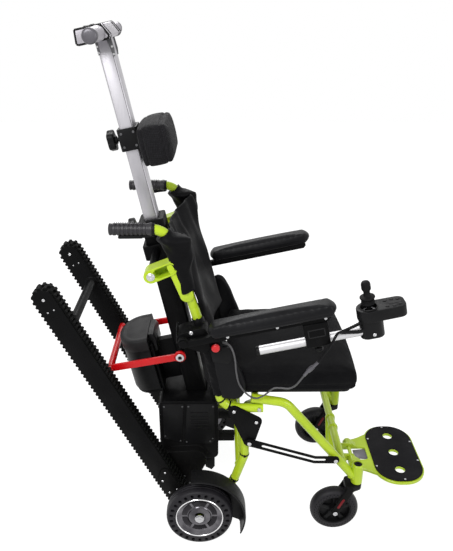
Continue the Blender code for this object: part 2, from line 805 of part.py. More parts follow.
def make_footplate(chair):
    hinge = (FOOT_HINGE[0], 0.0, FOOT_HINGE[1])

    def plate(inset, low, high):
        outline = rounded(FOOT_X[0] + inset, FOOT_X[1] - inset, -FOOT_HALF_W + inset, FOOT_HALF_W - inset,
                          FOOT_CORNER_R - inset, 5)
        moved = [(x - hinge[0], y) for x, y in outline]
        return prism(moved, low - hinge[2], high - hinge[2], "Z")

    def holes():
        return together(*[
            rod(FOOT_HOLE_R, -CUTTER, CUTTER, "Z", (FOOT_HOLE_X - hinge[0], k * FOOT_HOLE_STEP, 0.0), 12)
            for k in (-1, 0, 1)
        ])

    inner = FOOT_ARM_Y + FOOT_ARM_T / 2 + RUN

    def knuckle(side):
        rise = FOOT_TOP - FOOT_T / 2 - hinge[2]
        outline = hull([(0.0, 0.0, FOOT_EYE_R), (FOOT_KNUCKLE_REACH, rise, FOOT_KNUCKLE_TIP_R)], 12)
        return prism(outline, *sorted((side * inner, side * (inner + FOOT_KNUCKLE_W))))

    def swing(side):
        return drill(CASTOR_SWING_R, -CUTTER, CUTTER, "Z", (HEAD_X - hinge[0], side * FRAME_Y, 0.0), 30)

    low, high = FOOT_TOP - FOOT_T - hinge[2], FOOT_TOP - hinge[2]
    start, end = FOOT_NECK_X - hinge[0], FOOT_HOLE_X - hinge[0]
    neck = block(start, end, -FOOT_NECK_HALF_W, FOOT_NECK_HALF_W, low, high)
    footplate = put("footplate", neck, LIME, chair, hinge)
    cut(footplate, together(swing(-1.0), swing(1.0)))
    cut(footplate, block(-CUTTER, FOOT_WINDOW_X - hinge[0], -inner, inner, low - PAST, high + PAST))
    join(footplate, plate(0.0, FOOT_TOP - FOOT_T, FOOT_TOP))
    join(footplate, together(knuckle(-1.0), knuckle(1.0)))
    cut(footplate, drill(FOOT_PIN_R + RUN, -FOOT_HALF_W, FOOT_HALF_W))
    cut(footplate, holes())
    tread = put("foot_tread", plate(TREAD_INSET, FOOT_TOP + FIT, FOOT_TOP + FIT + TREAD_T), BLACK, chair, hinge)
    cut(tread, holes())


def make_rear_frame(chair):
    top, knee, ankle = REAR_LEG
    end_z = WHEEL_R + REAR_LEG_END_X * (ankle[1] - WHEEL_R) / ankle[0]

    def leg(y):
        return pipe(bent([(x, y, z) for x, z in (top, knee, ankle, (REAR_LEG_END_X, end_z))], TUBE_BEND), TUBE_R)

    def axle(side):
        inner = side * (FRAME_Y - TUBE_R + SINK)
        boss = rod(AXLE_BOSS_R, inner, side * (WHEEL_IN_Y - AXLE_BOSS_GAP), "Y", (0.0, 0.0, WHEEL_R), 12)
        nut = WHEEL_OUT_Y + RUN
        pin = turned([(0.0, inner), (AXLE_R, inner), (AXLE_R, side * nut), (AXLE_NUT_R, side * nut),
                      (AXLE_NUT_R, side * (nut + AXLE_NUT_T)), (0.0, side * (nut + AXLE_NUT_T))],
                     10, "Y", (0.0, 0.0, WHEEL_R))
        return boss, pin

    ys = [side * FRAME_Y for _, side in SIDES]
    share = (REAR_CROSS_Z - ankle[1]) / (knee[1] - ankle[1])
    cross = (ankle[0] + share * (knee[0] - ankle[0]), REAR_CROSS_Z)
    frame = put("rear_frame", pipe(straight(*ys, cross), CROSS_R), LIME, chair)
    join(frame, together(*[leg(y) for y in ys]))
    for index in (0, 1):
        join(frame, together(*[axle(side)[index] for _, side in SIDES]))
    return cross


def make_seat_frame(chair):
    ys = [side * FRAME_Y for _, side in SIDES]
    frame = put("seat_frame", pipe(straight(*ys, SEAT_CROSS[0]), SEAT_CROSS_R), LIME, chair)
    join(frame, together(*[pipe(lower_back_route(y), TUBE_R) for y in ys]))
    join(frame, pipe(straight(*ys, SEAT_CROSS[1]), SEAT_CROSS_R))


def make_back_tube(chair, label, side):
    put("back_tube_" + label, pipe(back_route(side * FRAME_Y), TUBE_R), LIME, chair)


def make_push_grip(chair, label, side):
    start = GRIP_REAR_X
    stop = GRIP_REAR_X + GRIP_LENGTH
    bore = (TUBE_R + FIT) / math.cos(math.pi / 10)
    outer = [(0.0, start), (GRIP_R - GRIP_EDGE, start), (GRIP_R, start + GRIP_EDGE)]
    pitch = (GRIP_LENGTH - 2 * GRIP_PLAIN) / GRIP_RIBS
    for k in range(GRIP_RIBS):
        groove = start + GRIP_PLAIN + k * pitch
        outer += [(GRIP_R, groove), (GRIP_R - GRIP_RIB_DEPTH, groove + pitch * GRIP_RIB_SLOPE)]
    outer += [(GRIP_R, stop - GRIP_PLAIN / 2), (GRIP_R, stop), (bore, stop)]
    end = start + GRIP_WALL - FIT
    put("push_grip_" + label, turned(outer + [(bore, end), (0.0, end)], 10, "X", (0.0, side * FRAME_Y, GRIP_Z)),
        RUBBER, chair)


def make_back_hinge(chair, label, side):
    low, high = sorted((side * HINGE_IN_Y, side * HINGE_OUT_Y))
    mid_z = (BACK_END_Z + LOWER_BACK_TOP_Z) / 2
    upper, lower = HINGE_UPPER, HINGE_LOWER
    outline = hull([(*ARM_PIVOT, HINGE_EYE_R), (back_x(mid_z) + upper[0], mid_z + upper[1], upper[2]),
                    (LOWER_BACK_TOP_X + lower[0], mid_z + lower[1], lower[2])])
    hinge = put("back_hinge_" + label, prism(outline, low, high), BLACK, chair)
    head = side * (ARM_BAR_OUT_Y + RUN)
    root = side * (HINGE_OUT_Y - ARM_PIN_SINK)
    pin = turned([(0.0, root), (ARM_PIN_R, root), (ARM_PIN_R, head),
                  (ARM_PIN_HEAD_R, head), (ARM_PIN_HEAD_R, head + side * ARM_PIN_HEAD),
                  (0.0, head + side * ARM_PIN_HEAD)], 14, "Y", (ARM_PIVOT[0], 0.0, ARM_PIVOT[1]))
    join(hinge, pin)
    if side < 0:
        x0, x1, z0, z1 = STOP_BOX
        front = STOP_BOX_SET - HINGE_OUT_Y
        join(hinge, prism(rounded(x0, x1, z0, z1, STOP_BOX_EDGE), front, front + STOP_BOX_DEPTH))
    y = side * FRAME_Y
    cut(hinge, pipe(back_route(y), TUBE_R + FIT))
    cut(hinge, pipe(lower_back_route(y), TUBE_R + FIT))
    if side < 0:
        place = (STOP_PLACE[0], 0.0, STOP_PLACE[1])
        bottom = front + STOP_BOX_DEPTH - STOP_BOX_WALL
        cut(hinge, drill(STOP_STEM_R + RUN, front - PAST, bottom, "Y", place, 12))
        seat = front - STOP_TRAVEL - FIT
        tip = bottom - STOP_TRAVEL - FIT - seat
        cap, edge = -STOP_CAP_T, STOP_CAP_EDGE
        button = [(0.0, tip), (STOP_STEM_R, tip), (STOP_STEM_R, 0.0), (STOP_CAP_R, 0.0),
                  (STOP_CAP_R, cap + edge), (STOP_CAP_R - edge, cap), (0.0, cap)]
        put("stop_button", turned(button, 12, "Y"), RED, chair, (place[0], seat, place[2]))


def make_pivot_plate(chair, label, side):
    low, high = sorted((side * PLATE_IN_Y, side * (PLATE_IN_Y + PLATE_T)))
    outline = hull([(x, z, PLATE_CORNER_R) for x, z in PLATE_CORNERS])
    plate = put("pivot_plate_" + label, prism(outline, low, high), BLACK, chair)
    face = side * (PLATE_IN_Y + PLATE_T - SINK)
    heads = [rod(BOLT_R, face, face + side * (BOLT_T + SINK), "Y", (x, 0.0, z), 6)
             for x, z in (PLATE_CORNERS[0], PLATE_CORNERS[1])]
    join(plate, together(*heads))


def make_strut_link(chair, label, side):
    rear = PLATE_CORNERS[2]
    front = (STRUT_FRONT_X, leg_z(STRUT_FRONT_X))
    low, high = sorted((side * STRUT_IN_Y, side * (STRUT_IN_Y + STRUT_T)))

    def between(start, end, share):
        return tuple(a + share * (b - a) for a, b in zip(start, end))

    across, up = between(rear, front, STRUT_ELBOW)
    elbow = (across, up - STRUT_DROP)
    outline = bent_bar(rear, elbow, front, STRUT_END_R)
    link = put("strut_link_" + label, prism(outline, low, high), BLACK, chair)
    slot_ends = (between(rear, elbow, STRUT_SLOT[0]), between(elbow, front, STRUT_SLOT[1]))
    slot = bent_bar(slot_ends[0], elbow, slot_ends[1], STRUT_SLOT_R, 4)
    cut(link, prism(slot, low - PAST, high + PAST))
    face = side * (STRUT_IN_Y + STRUT_T - SINK)
    heads = [rod(STRUT_BOLT_R, face, face + side * (BOLT_T + SINK), "Y", (x, 0.0, z), 6)
             for x, z in (rear, front)]
    join(link, together(*heads))


def make_guard(chair, label, side):
    inner, outer = side * (WHEEL_IN_Y - GUARD_GAP), side * GUARD_OUT_Y
    wall = inner + side * GUARD_WALL
    profile = [(GUARD_SKIRT_R, inner), (GUARD_R, inner), (GUARD_R, outer), (GUARD_R - GUARD_T, outer),
               (GUARD_R - GUARD_T, wall), (GUARD_SKIRT_R, wall)]
    guard = put("mudguard_" + label, swept(profile, GUARD_FROM, GUARD_TO, 12, (0.0, WHEEL_R)), BLACK, chair)
    ankle = REAR_LEG[2]
    boss_z = WHEEL_R + GUARD_BOSS_X * (ankle[1] - WHEEL_R) / ankle[0]
    join(guard, rod(GUARD_BOSS_R, side * (FRAME_Y + TUBE_R + FIT), inner + side * SINK, "Y",
                    (GUARD_BOSS_X, 0.0, boss_z), 10))


def make_rear_wheel(chair, label, side):
    place = (0.0, side * WHEEL_Y, WHEEL_R)
    half, r, s = WHEEL_W / 2, WHEEL_R, TYRE_SHOULDER
    hole_ring = RIM_R + TYRE_HOLE_SHARE * (WHEEL_R - RIM_R)
    tyre_profile = [(RIM_R, -half), (r - s, -half), (r, -half + s), (r, half - s), (r - s, half), (RIM_R, half)]
    tyre = put("rear_tyre_" + label, turned(tyre_profile, 22, "Y", closed=True), RUBBER, chair, place)
    holes = []
    for i in range(TYRE_HOLES):
        angle = 2 * math.pi * i / TYRE_HOLES
        spot = (hole_ring * math.cos(angle), 0.0, hole_ring * math.sin(angle))
        holes.append(rod(TYRE_HOLE_R, -WHEEL_W, WHEEL_W, "Y", spot, 6))
    cut(tyre, together(*holes))
    rim, bore = RIM_R - FIT, AXLE_R + RUN
    out = half - HUB_SET
    hub_profile = [(bore, -out), (rim, HUB_BACK - out), (rim, out - HUB_EDGE), (rim - HUB_LIP, out),
                   (rim - HUB_WALL, out - HUB_DISH[0]), (HUB_CAP_R[0], out - HUB_DISH[1]), (HUB_CAP_R[1], out),
                   (bore, out)]
    hub = turned([(r, side * y) for r, y in hub_profile], 22, "Y", closed=True)
    put("rear_hub_" + label, hub, CHROME, chair, place)


def make_castor(chair, label, side):
    stem = (HEAD_X, side * FRAME_Y, 0.0)
    inner = CASTOR_W / 2 + FORK_GAP
    outer = inner + FORK_T
    crown_top = HEAD_LOW - RUN
    shoulder = outer - FORK_SHOULDER_R - FIT / 4
    fork = put("castor_fork_" + label,
               prism(hull([(0.0, 0.0, FORK_CROWN_R), (-FORK_CROWN_BACK, shoulder, FORK_SHOULDER_R),
                           (-FORK_CROWN_BACK, -shoulder, FORK_SHOULDER_R)], 12), FORK_CROWN_LOW, crown_top, "Z"),
               BLACK, chair, stem)
    join(fork, rod(STEM_R, crown_top - FORK_STEM_SINK, STEM_TOP, "Z", sides=12))
    leg_x, leg_rise, leg_r = FORK_LEG_TOP
    leg = hull([(leg_x, FORK_CROWN_LOW + leg_rise, leg_r), (-CASTOR_TRAIL, CASTOR_R, FORK_EYE_R)], 12)
    join(fork, together(prism(leg, inner, outer), prism(leg, -outer, -inner)))
    axle = (-CASTOR_TRAIL, 0.0, CASTOR_R)
    tip, root = outer + FORK_HEAD_T, outer - SINK
    pin = [(0.0, -tip), (FORK_HEAD_R, -tip), (FORK_HEAD_R, -root), (CASTOR_AXLE_R, -root),
           (CASTOR_AXLE_R, root), (FORK_HEAD_R, root), (FORK_HEAD_R, tip), (0.0, tip)]
    join(fork, turned(pin, 10, "Y", axle))
    half, r, bore = CASTOR_W / 2, CASTOR_R, CASTOR_AXLE_R + RUN
    face = half + FORK_GAP - RUN
    near = [(bore, face), (CASTOR_BOSS_R[0], face), (CASTOR_BOSS_R[1], CASTOR_WEB),
            (CASTOR_RIM_R[0], CASTOR_WEB), (CASTOR_RIM_R[1], half), (r, half - CASTOR_SHOULDER)]
    profile = [(radius, -y) for radius, y in near] + [(radius, y) for radius, y in near[::-1]]
    wheel = put("castor_wheel_" + label, turned(profile, 20, "Y", closed=True), RUBBER, chair,
                (HEAD_X - CASTOR_TRAIL, side * FRAME_Y, CASTOR_R))
    windows = []
    for i in range(CASTOR_SPOKES):
        angle = 2 * math.pi * (i + 0.25) / CASTOR_SPOKES
        spot = (CASTOR_WINDOW_RING * math.cos(angle), 0.0, CASTOR_WINDOW_RING * math.sin(angle))
        windows.append(rod(CASTOR_WINDOW_R, -CASTOR_W, CASTOR_W, "Y", spot, 6))
    cut(wheel, together(*windows))


def make_seat(chair):
    middle = (SEAT_X[0] + SEAT_X[1]) / 2
    top = SEAT_LOW - FIT
    sheet = prism(rounded(*PAN_X, -PAN_HALF_W, PAN_HALF_W, PAN_CORNER_R), top - PAN_T, top, "Z")
    pan = put("seat_pan", sheet, BLACK, chair)
    foot = SEAT_RAIL_Z + SEAT_CROSS_R + FIT
    start, half_t, roof = PAN_X[0] + PAN_RIB_SET, PAN_RIB_T / 2, top - PAN_T + SINK
    ribs = [block(start, PAN_RIB_END_X, y - half_t, y + half_t, foot, roof) for y in (-PAN_RIB_Y, PAN_RIB_Y)]
    join(pan, together(*ribs))
    half = ((SEAT_X[1] - SEAT_X[0]) / 2, SEAT_HALF_W, SEAT_T / 2)
    put("seat_cushion", padded(half, 5, SEAT_CROWN, SEAT_DRAWN, SEAT_SOFTNESS), CLOTH, chair,
        (middle, 0.0, SEAT_LOW + SEAT_T / 2))


def make_back(chair):
    frame = axes("back_axes", chair, (BACK_FOOT[0], 0.0, BACK_FOOT[1]), BACK_TILT)
    shape = bmesh.new()
    bmesh.ops.create_cube(shape, size=2.0)
    flat = [edge for edge in shape.edges if edge.verts[0].co.x * edge.verts[1].co.x > 0.0]
    bmesh.ops.subdivide_edges(shape, edges=flat, cuts=7, use_grid_fill=True)
    middle, half_h = (BACK_TOP + BACK_LOW) / 2, (BACK_TOP - BACK_LOW) / 2
    for vert in shape.verts:
        a, b, c = vert.co
        edge = 1 - BACK_THINNING * max(abs(b), abs(c)) ** 8
        z = middle + half_h * c
        half_w = FRAME_Y + BACK_WRAP if z > BACK_STEP else DOCK_IN_Y - BACK_DOCK_GAP
        y = half_w * b
        bowl = BACK_SAG * max(0.0, 1 - (b / BACK_SAG_SPAN) ** 2)
        mid_x = TUBE_R + FIT + BACK_T / 2
        depth = a * edge if a > 0 else a
        vert.co = (mid_x - bowl + depth * BACK_T / 2, y, z)
    back = put("back_upholstery", finished(shape), CLOTH, frame)
    ys = [side * FRAME_Y for _, side in SIDES]
    join(back, together(*[pipe(sleeve_route(y), SLEEVE_R) for y in ys]), parent=chair)
    cut(back, together(*[pipe(back_route(y), TUBE_R + FIT) for y in ys]), parent=chair)


def make_armrest(chair, label, side):
    arm = axes("armrest_axes_" + label, chair, (ARM_PIVOT[0], 0.0, ARM_PIVOT[1]), ARM_TILT)
    low, high = sorted((side * ARM_BAR_IN_Y, side * ARM_BAR_OUT_Y))
    first = math.asin(ARM_BAR_TOP / ARM_EYE_R)
    last = 2 * math.pi + math.asin(ARM_BAR_LOW / ARM_EYE_R)
    angles = [first + (last - first) * i / 14 for i in range(15)]
    eye = [(ARM_EYE_R * math.cos(angle), ARM_EYE_R * math.sin(angle)) for angle in angles]
    tip = [(ARM_BAR_END - ARM_BAR_CHAMFER, ARM_BAR_LOW), (ARM_BAR_END, ARM_BAR_LOW + ARM_BAR_CHAMFER),
           (ARM_BAR_END, ARM_BAR_TOP)]
    bar = put("armrest_bar_" + label, prism(eye + tip, low, high), BLACK, arm)
    tube_y = side * (ARM_BAR_IN_Y + ARM_BAR_W / 2)
    if side < 0:
        half = STICK_CLAMP_W / 2
        low_z = STICK_TUBE_Z - STICK_TUBE_R - STICK_CLAMP_WALL
        clamp = rounded(tube_y - half, tube_y + half, low_z, ARM_BAR_LOW + 2 * SINK, STICK_CLAMP_EDGE)
        join(bar, prism(clamp, *STICK_CLAMP, "X"))
        cut(bar, drill(STICK_TUBE_R + FIT, STICK_TUBE_START, STICK_X, "X", (0.0, tube_y, STICK_TUBE_Z), 14))
    cut(bar, drill(ARM_PIN_R + RUN, low - PAST, high + PAST))
    middle = ((PAD_START + PAD_END) / 2, tube_y + side * PAD_OUT, ARM_BAR_TOP + FIT + PAD_T / 2)
    pad_half = ((PAD_END - PAD_START) / 2, PAD_W / 2, PAD_T / 2)
    put("armrest_pad_" + label, padded(pad_half, 3, PAD_CROWN, PAD_DRAWN, PAD_SOFTNESS), CLOTH, arm, middle)
    return arm, tube_y


def make_joystick(arm, tube_y):
    tube_end = STICK_X - STICK_NECK_R + STICK_NECK_SPAN[0] + STICK_SOCKET
    start, edge = STICK_TUBE_START, STICK_TUBE_EDGE
    profile = [(0.0, start), (STICK_TUBE_R - edge, start), (STICK_TUBE_R, start + edge),
               (STICK_TUBE_R, tube_end), (0.0, tube_end)]
    put("joystick_arm", turned(profile, 16, "X", (0.0, tube_y, STICK_TUBE_Z)), ALLOY, arm)
    flat = STICK_POD_R - STICK_PANEL_R - STICK_POD_EDGE
    pod = hull([(STICK_X, tube_y, STICK_POD_R), (STICK_PANEL_X, tube_y - flat, STICK_PANEL_R),
                (STICK_PANEL_X, tube_y + flat, STICK_PANEL_R)], 20)
    housing = put("joystick_housing", prism(pod, -STICK_POD_T, 0.0, "Z"), BLACK, arm)
    neck = hull([(STICK_X + shift, tube_y, STICK_NECK_R) for shift in STICK_NECK_SPAN], 16)
    join(housing, prism(neck, STICK_NECK_LOW, SINK - STICK_POD_T, "Z"))
    tail = [(STICK_X + x, tube_y + y, z) for x, y, z in STICK_TAIL]
    join(housing, pipe(tail, STICK_TAIL_R, 2))
    tube_axis = (0.0, tube_y, STICK_TUBE_Z)
    cut(housing, drill(STICK_TUBE_R + FIT, STICK_TUBE_START, tube_end + FIT, "X", tube_axis, 14))
    cut(housing, drill(WELL_R, -WELL_DEPTH, PAST, "Z", (STICK_X, tube_y, 0.0), 16))
    pivot = (STICK_X, tube_y, GIMBAL_Z)
    half = GIMBAL_T / 2
    ring = [(GIMBAL_BORE_R, -half), (GIMBAL_R, -half), (GIMBAL_R, half), (GIMBAL_BORE_R, half)]
    gimbal = put("joystick_gimbal", turned(ring, 16, "Z", closed=True), ALLOY, arm, pivot)
    reach = WELL_R - 2 * FIT
    root = GIMBAL_R - GIMBAL_PIN_SINK
    join(gimbal, together(rod(GIMBAL_PIN_R, root, reach, "Y", sides=8),
                          rod(GIMBAL_PIN_R, -reach, -root, "Y", sides=8)))
    low = GIMBAL_Z - STICK_ROD_LOW
    edge_in, edge_down = STICK_KNOB_EDGE
    stick_profile = [
        (0.0, low), (STICK_ROD_R, low), (STICK_ROD_R, STICK_SKIRT[0]), (STICK_SKIRT_R, STICK_SKIRT[1]),
        (STICK_SKIRT_R - STICK_SKIRT_TAPER[0], STICK_SKIRT[2]),
        (STICK_SKIRT_R - STICK_SKIRT_TAPER[1], STICK_SKIRT[3]),
        (STICK_FLANGE_R, STICK_FLANGE[0]), (STICK_FLANGE_R, STICK_FLANGE[1]), (STICK_WAIST[0], STICK_FLANGE[2]),
        (STICK_WAIST[1], STICK_KNOB[0]), (STICK_KNOB_R, STICK_KNOB[1]), (STICK_KNOB_R, STICK_TOP - edge_down),
        (STICK_KNOB_R - edge_in, STICK_TOP), (0.0, STICK_TOP),
    ]
    stick = put("joystick_stick", turned([(r, z - GIMBAL_Z) for r, z in stick_profile], 10), RUBBER, arm, pivot)
    end = GIMBAL_BORE_R - STICK_PIN_GAP
    join(stick, rod(GIMBAL_PIN_R, -end, end, "X", sides=8))


def make_column(chair):
    """The leaning column with its collar, battery tray and yoke shaft."""
    lean = axes("column_axes", chair, (COLUMN_FOOT[0], 0.0, COLUMN_FOOT[1]), COLUMN_TILT)
    hx, hy = COLUMN_HALF
    outline = rounded(-hx, hx, -hy, hy, COLUMN_CORNER_R)
    column = put("column", prism(outline, COLUMN_LOW, COLUMN_TOP, "Z"), BLACK, lean)
    cx, cy = COLLAR_HALF
    collar = rounded(-cx, cx, -cy, cy, COLLAR_CORNER_R)
    join(column, prism(collar, COLUMN_TOP - COLLAR_H, COLUMN_TOP + SINK, "Z"))
    shelf_top = BATTERY_LOW - FIT
    shelf = prism(battery_outline(-TRAY_INSET, TRAY_AHEAD), shelf_top - TRAY_T, shelf_top, "Z")
    front = BATTERY_X[1] + FIT
    foot = shelf_top - TRAY_T + SINK
    plate = block(front, front + TRAY_PLATE_T, -TRAY_HALF_W, TRAY_HALF_W, foot, BATTERY_TOP - TRAY_PLATE_DROP)
    web = block(front + TRAY_SINK, TRAY_SINK - hx, -TRAY_WEB_HALF_W, TRAY_WEB_HALF_W, foot + SINK,
                BATTERY_TOP - TRAY_WEB_DROP)
    join(column, shelf, plate, web)
    pin_end = YOKE_IN_Y + RUN + YOKE_T + RUN
    root, tip = YOKE_SHAFT_SINK, pin_end + YOKE_HEAD_T
    half_shaft = [(0.0, root), (YOKE_SHAFT_R, root), (YOKE_SHAFT_R, YOKE_IN_Y), (YOKE_PIN_R, YOKE_IN_Y),
                  (YOKE_PIN_R, pin_end), (YOKE_HEAD_R, pin_end), (YOKE_HEAD_R, tip), (0.0, tip)]
    for side in (-1.0, 1.0):
        join(column, turned([(r, side * y) for r, y in half_shaft], 10, "Y", (YOKE_SHAFT_X, 0.0, YOKE_SHAFT_Z)))
    mx, my = MAST_HALF
    floor = MAST_LOW - MAST_TRAVEL - PAST
    cut(column, block(-mx - RUN, mx + RUN, -my - RUN, my + RUN, floor, COLUMN_TOP + PAST))
    return lean


def battery_outline(grow, ahead=0.0):
    """A half ellipse with a flat front, in the column's axes."""
    front, rear = BATTERY_X[1] + ahead, BATTERY_X[0] - grow
    half = BATTERY_HALF_W + grow
    flank = front - BATTERY_STRAIGHT
    points = [(front, -half), (front, half)]
    for i in range(1, 14):
        angle = math.pi / 2 - math.pi * i / 14
        points.append((flank - (flank - rear) * math.cos(angle) ** BATTERY_FULLNESS, half * math.sin(angle)))
    return points


def make_battery(lean):
    """A case with an overhanging lid, marked off by a groove."""
    split = BATTERY_TOP - LID_H
    groove = LID_GROOVE
    layers = [(0.0, BATTERY_LOW), (0.0, split - groove), (-groove, split - groove), (-groove, split),
              (LID_RIM, split), (LID_RIM, BATTERY_TOP - LID_EDGE), (LID_RIM - LID_EDGE, BATTERY_TOP)]
    shape = bmesh.new()
    rings = [[shape.verts.new((x, y, z)) for x, y in battery_outline(grow)] for grow, z in layers]
    for low, high in zip(rings, rings[1:]):
        for i in range(len(low)):
            k = (i + 1) % len(low)
            shape.faces.new((low[i], low[k], high[k], high[i]))
    shape.faces.new(rings[0])
    shape.faces.new(rings[-1])
    put("battery_pack", finished(shape), GREY, lean)


def make_mast(lean):
    mx, my = MAST_HALF
    wall = MAST_WALL
    mast = put("mast", prism(rounded(-mx, mx, -my, my, MAST_CORNER_R), MAST_LOW, MAST_TOP, "Z"), ALLOY, lean)
    cut(mast, block(wall - mx, mx - wall, wall - my, my - wall, MAST_LOW - PAST, MAST_TOP - MAST_CAP))


def make_handle(lean):
    hub = (BAR_X, 0.0, BAR_Z)
    console = put("handle_console", prism(CONSOLE, -CONSOLE_HALF_W, CONSOLE_HALF_W), GREY, lean)
    cut(console, drill(BAR_R + FIT, -CUTTER, CUTTER, "Y", hub))
    sx, sy = SWITCH_HALF
    top = CONSOLE[1][1]
    well = sx + SWITCH_GAP
    floor = top - SWITCH_SINK - SWITCH_FLOOR
    cut(console, block(SWITCH_X - well, SWITCH_X + well, -sy - RUN, sy + RUN, floor, top + PAST))
    inner, end = CONSOLE_HALF_W + FIT, BAR_HALF_W
    half = [(BAR_R, inner), (BAR_GRIP_R - BAR_EDGE_IN, inner), (BAR_GRIP_R, inner + BAR_EDGE_IN),
            (BAR_GRIP_R, end - BAR_EDGE_OUT), (BAR_GRIP_R - BAR_EDGE_OUT, end), (0.0, end)]
    profile = [(r, -y) for r, y in half[::-1]] + half
    put("handle_bar", turned(profile, 12, "Y", hub), RUBBER, lean)
    low, high = -SWITCH_SINK, SWITCH_T - SWITCH_SINK
    foot, rim = sx * SWITCH_WAIST, high - SWITCH_RIM
    rocker = [(-foot, low), (foot, low), (sx, rim), (sx, high + SWITCH_DISH), (0.0, high - SWITCH_DISH),
              (-sx, high + SWITCH_DISH), (-sx, rim)]
    put("climb_switch", prism(rocker, -sy, sy), BLACK, lean, (SWITCH_X, 0.0, top))


def knob_mesh(radius):
    """A lobed knob on its stem, turned about X, with the stem's tip at the origin."""
    outline = []
    steps = KNOB_LOBES * 4
    for i in range(steps):
        angle = 2 * math.pi * i / steps
        reach = radius - KNOB_LOBE_DEPTH / 2 * (1 - math.cos(KNOB_LOBES * angle))
        outline.append((reach * math.cos(angle), reach * math.sin(angle)))
    return prism(outline, -KNOB_STEM - KNOB_T, -KNOB_STEM, "X")


def make_knob(name, lean, place):
    knob = put(name, knob_mesh(KNOB_R), BLACK, lean, place)
    join(knob, rod(KNOB_STEM_R, -KNOB_STEM - SINK, 0.0, "X", sides=12))


def make_headrest(lean):
    cx, cy = CLAMP_HALF
    mx, my = MAST_HALF
    clamp = put("headrest_clamp", prism(rounded(-cx, cx, -cy, cy, CLAMP_CORNER_R), *CLAMP_Z, "Z"), BLACK, lean)
    cut(clamp, block(-mx - RUN, mx + RUN, -my - RUN, my + RUN, CLAMP_Z[0] - PAST, CLAMP_Z[1] + PAST))
    height = HEADREST_Z[1] - HEADREST_Z[0]
    middle = (cx + FIT + HEADREST_X / 2, 0.0, (HEADREST_Z[0] + HEADREST_Z[1]) / 2)
    half = (HEADREST_X / 2, HEADREST_HALF_W, height / 2)
    put("headrest_pad", padded(half, 4, 0.0, HEADREST_DRAWN, HEADREST_SOFTNESS), CLOTH, lean, middle)
    make_knob("headrest_knob", lean, (-cx - FIT, 0.0, (CLAMP_Z[0] + CLAMP_Z[1]) / 2))
    make_knob("mast_knob", lean, (-COLLAR_HALF[0] - FIT, 0.0, COLUMN_TOP - COLLAR_H / 2))


def column_socket(low, high):
    """A cutter that leaves the column its clearance."""
    hx, hy = COLUMN_HALF
    return prism(rounded(-hx - FIT, hx + FIT, -hy - FIT, hy + FIT, COLUMN_CORNER_R), low, high, "Z")


def make_dock_bracket(chair, lean):
    """A ring on the column, two stub shafts and a clamp on each back tube."""
    hx, hy = COLUMN_HALF
    wall = DOCK_WALL
    outline = rounded(-hx - wall, hx + wall, -hy - wall, hy + wall, DOCK_CORNER_R)
    ring = put("dock_bracket", prism(outline, *DOCK_Z, "Z"), LIME, lean)
    boss = (DOCK_BOSS[0], 0.0, DOCK_BOSS[1])
    stub = (hy + DOCK_STUB_SINK, DOCK_IN_Y + DOCK_STUB_SINK)
    stubs = [rod(DOCK_STUB_R, *sorted(side * y for y in stub), "Y", boss, 14) for _, side in SIDES]
    join(ring, together(*stubs), parent=chair)
    spans = [sorted((side * DOCK_IN_Y, side * DOCK_OUT_Y)) for _, side in SIDES]
    for outline in (hull([(*DOCK_BOSS, DOCK_EYE_R), DOCK_ARM], 12), hull(DOCK_LEG, 12)):
        join(ring, together(*[prism(outline, *span) for span in spans]), parent=chair)
    window = hull(DOCK_WINDOW, 10)
    cut(ring, together(*[prism(window, low - PAST, high + PAST) for low, high in spans]), parent=chair)
    ys = [side * FRAME_Y for _, side in SIDES]
    cut(ring, together(*[pipe(back_route(y), TUBE_R + FIT) for y in ys]), parent=chair)
    cut(ring, together(*[pipe(sleeve_route(y), SLEEVE_R + FIT) for y in ys]), parent=chair)
    cut(ring, column_socket(DOCK_Z[0] - CUTTER, DOCK_Z[1] + CUTTER))


def make_drive_housing(chair, lean, rear_cross):
    x0, x1 = HOUSING_X
    body = rounded(x0, x1, *HOUSING_Z, HOUSING_CORNER_R)
    housing = put("drive_housing", prism(body, -HOUSING_HALF_W, HOUSING_HALF_W), BLACK, chair)
    upper = [(x, HOUSING_Z[0] + GEARBOX_RISE, radius) for x, radius in GEARBOX_TOP]
    gearbox = hull([(*TRACK_FOOT, GEARBOX_R), *upper])
    join(housing, prism(gearbox, -GEARBOX_HALF_W, GEARBOX_HALF_W))
    reach = rear_cross[0] - CROSS_R - FIT
    hooks = [block(x1 - HOOK_SINK, reach, y - HOOK_T / 2, y + HOOK_T / 2, rear_cross[1] - HOOK_HALF_H,
                   rear_cross[1] + HOOK_HALF_H) for y in (-HOOK_Y, HOOK_Y)]
    join(housing, together(*hooks))
    shaft = (TRACK_FOOT[0], 0.0, TRACK_FOOT[1])
    cut(housing, drill(SHAFT_R + RUN, -CUTTER, CUTTER, "Y", shaft))
    cut(housing, column_socket(COLUMN_LOW - FIT, CUTTER), parent=lean)


def loop_point(distance, radius):
    """A point on a belt's loop, by its distance along the straight sides and end arcs of the inner face."""
    arc = math.pi * BELT_IN_R
    straight_side = TRACK_LENGTH
    distance %= 2 * (arc + straight_side)
    if distance < straight_side:
        return (radius, distance)
    distance -= straight_side
    if distance < arc:
        angle = distance / BELT_IN_R
        return (radius * math.cos(angle), TRACK_LENGTH + radius * math.sin(angle))
    distance -= arc
    if distance < straight_side:
        return (-radius, TRACK_LENGTH - distance)
    angle = math.pi + (distance - straight_side) / BELT_IN_R
    return (radius * math.cos(angle), radius * math.sin(angle))


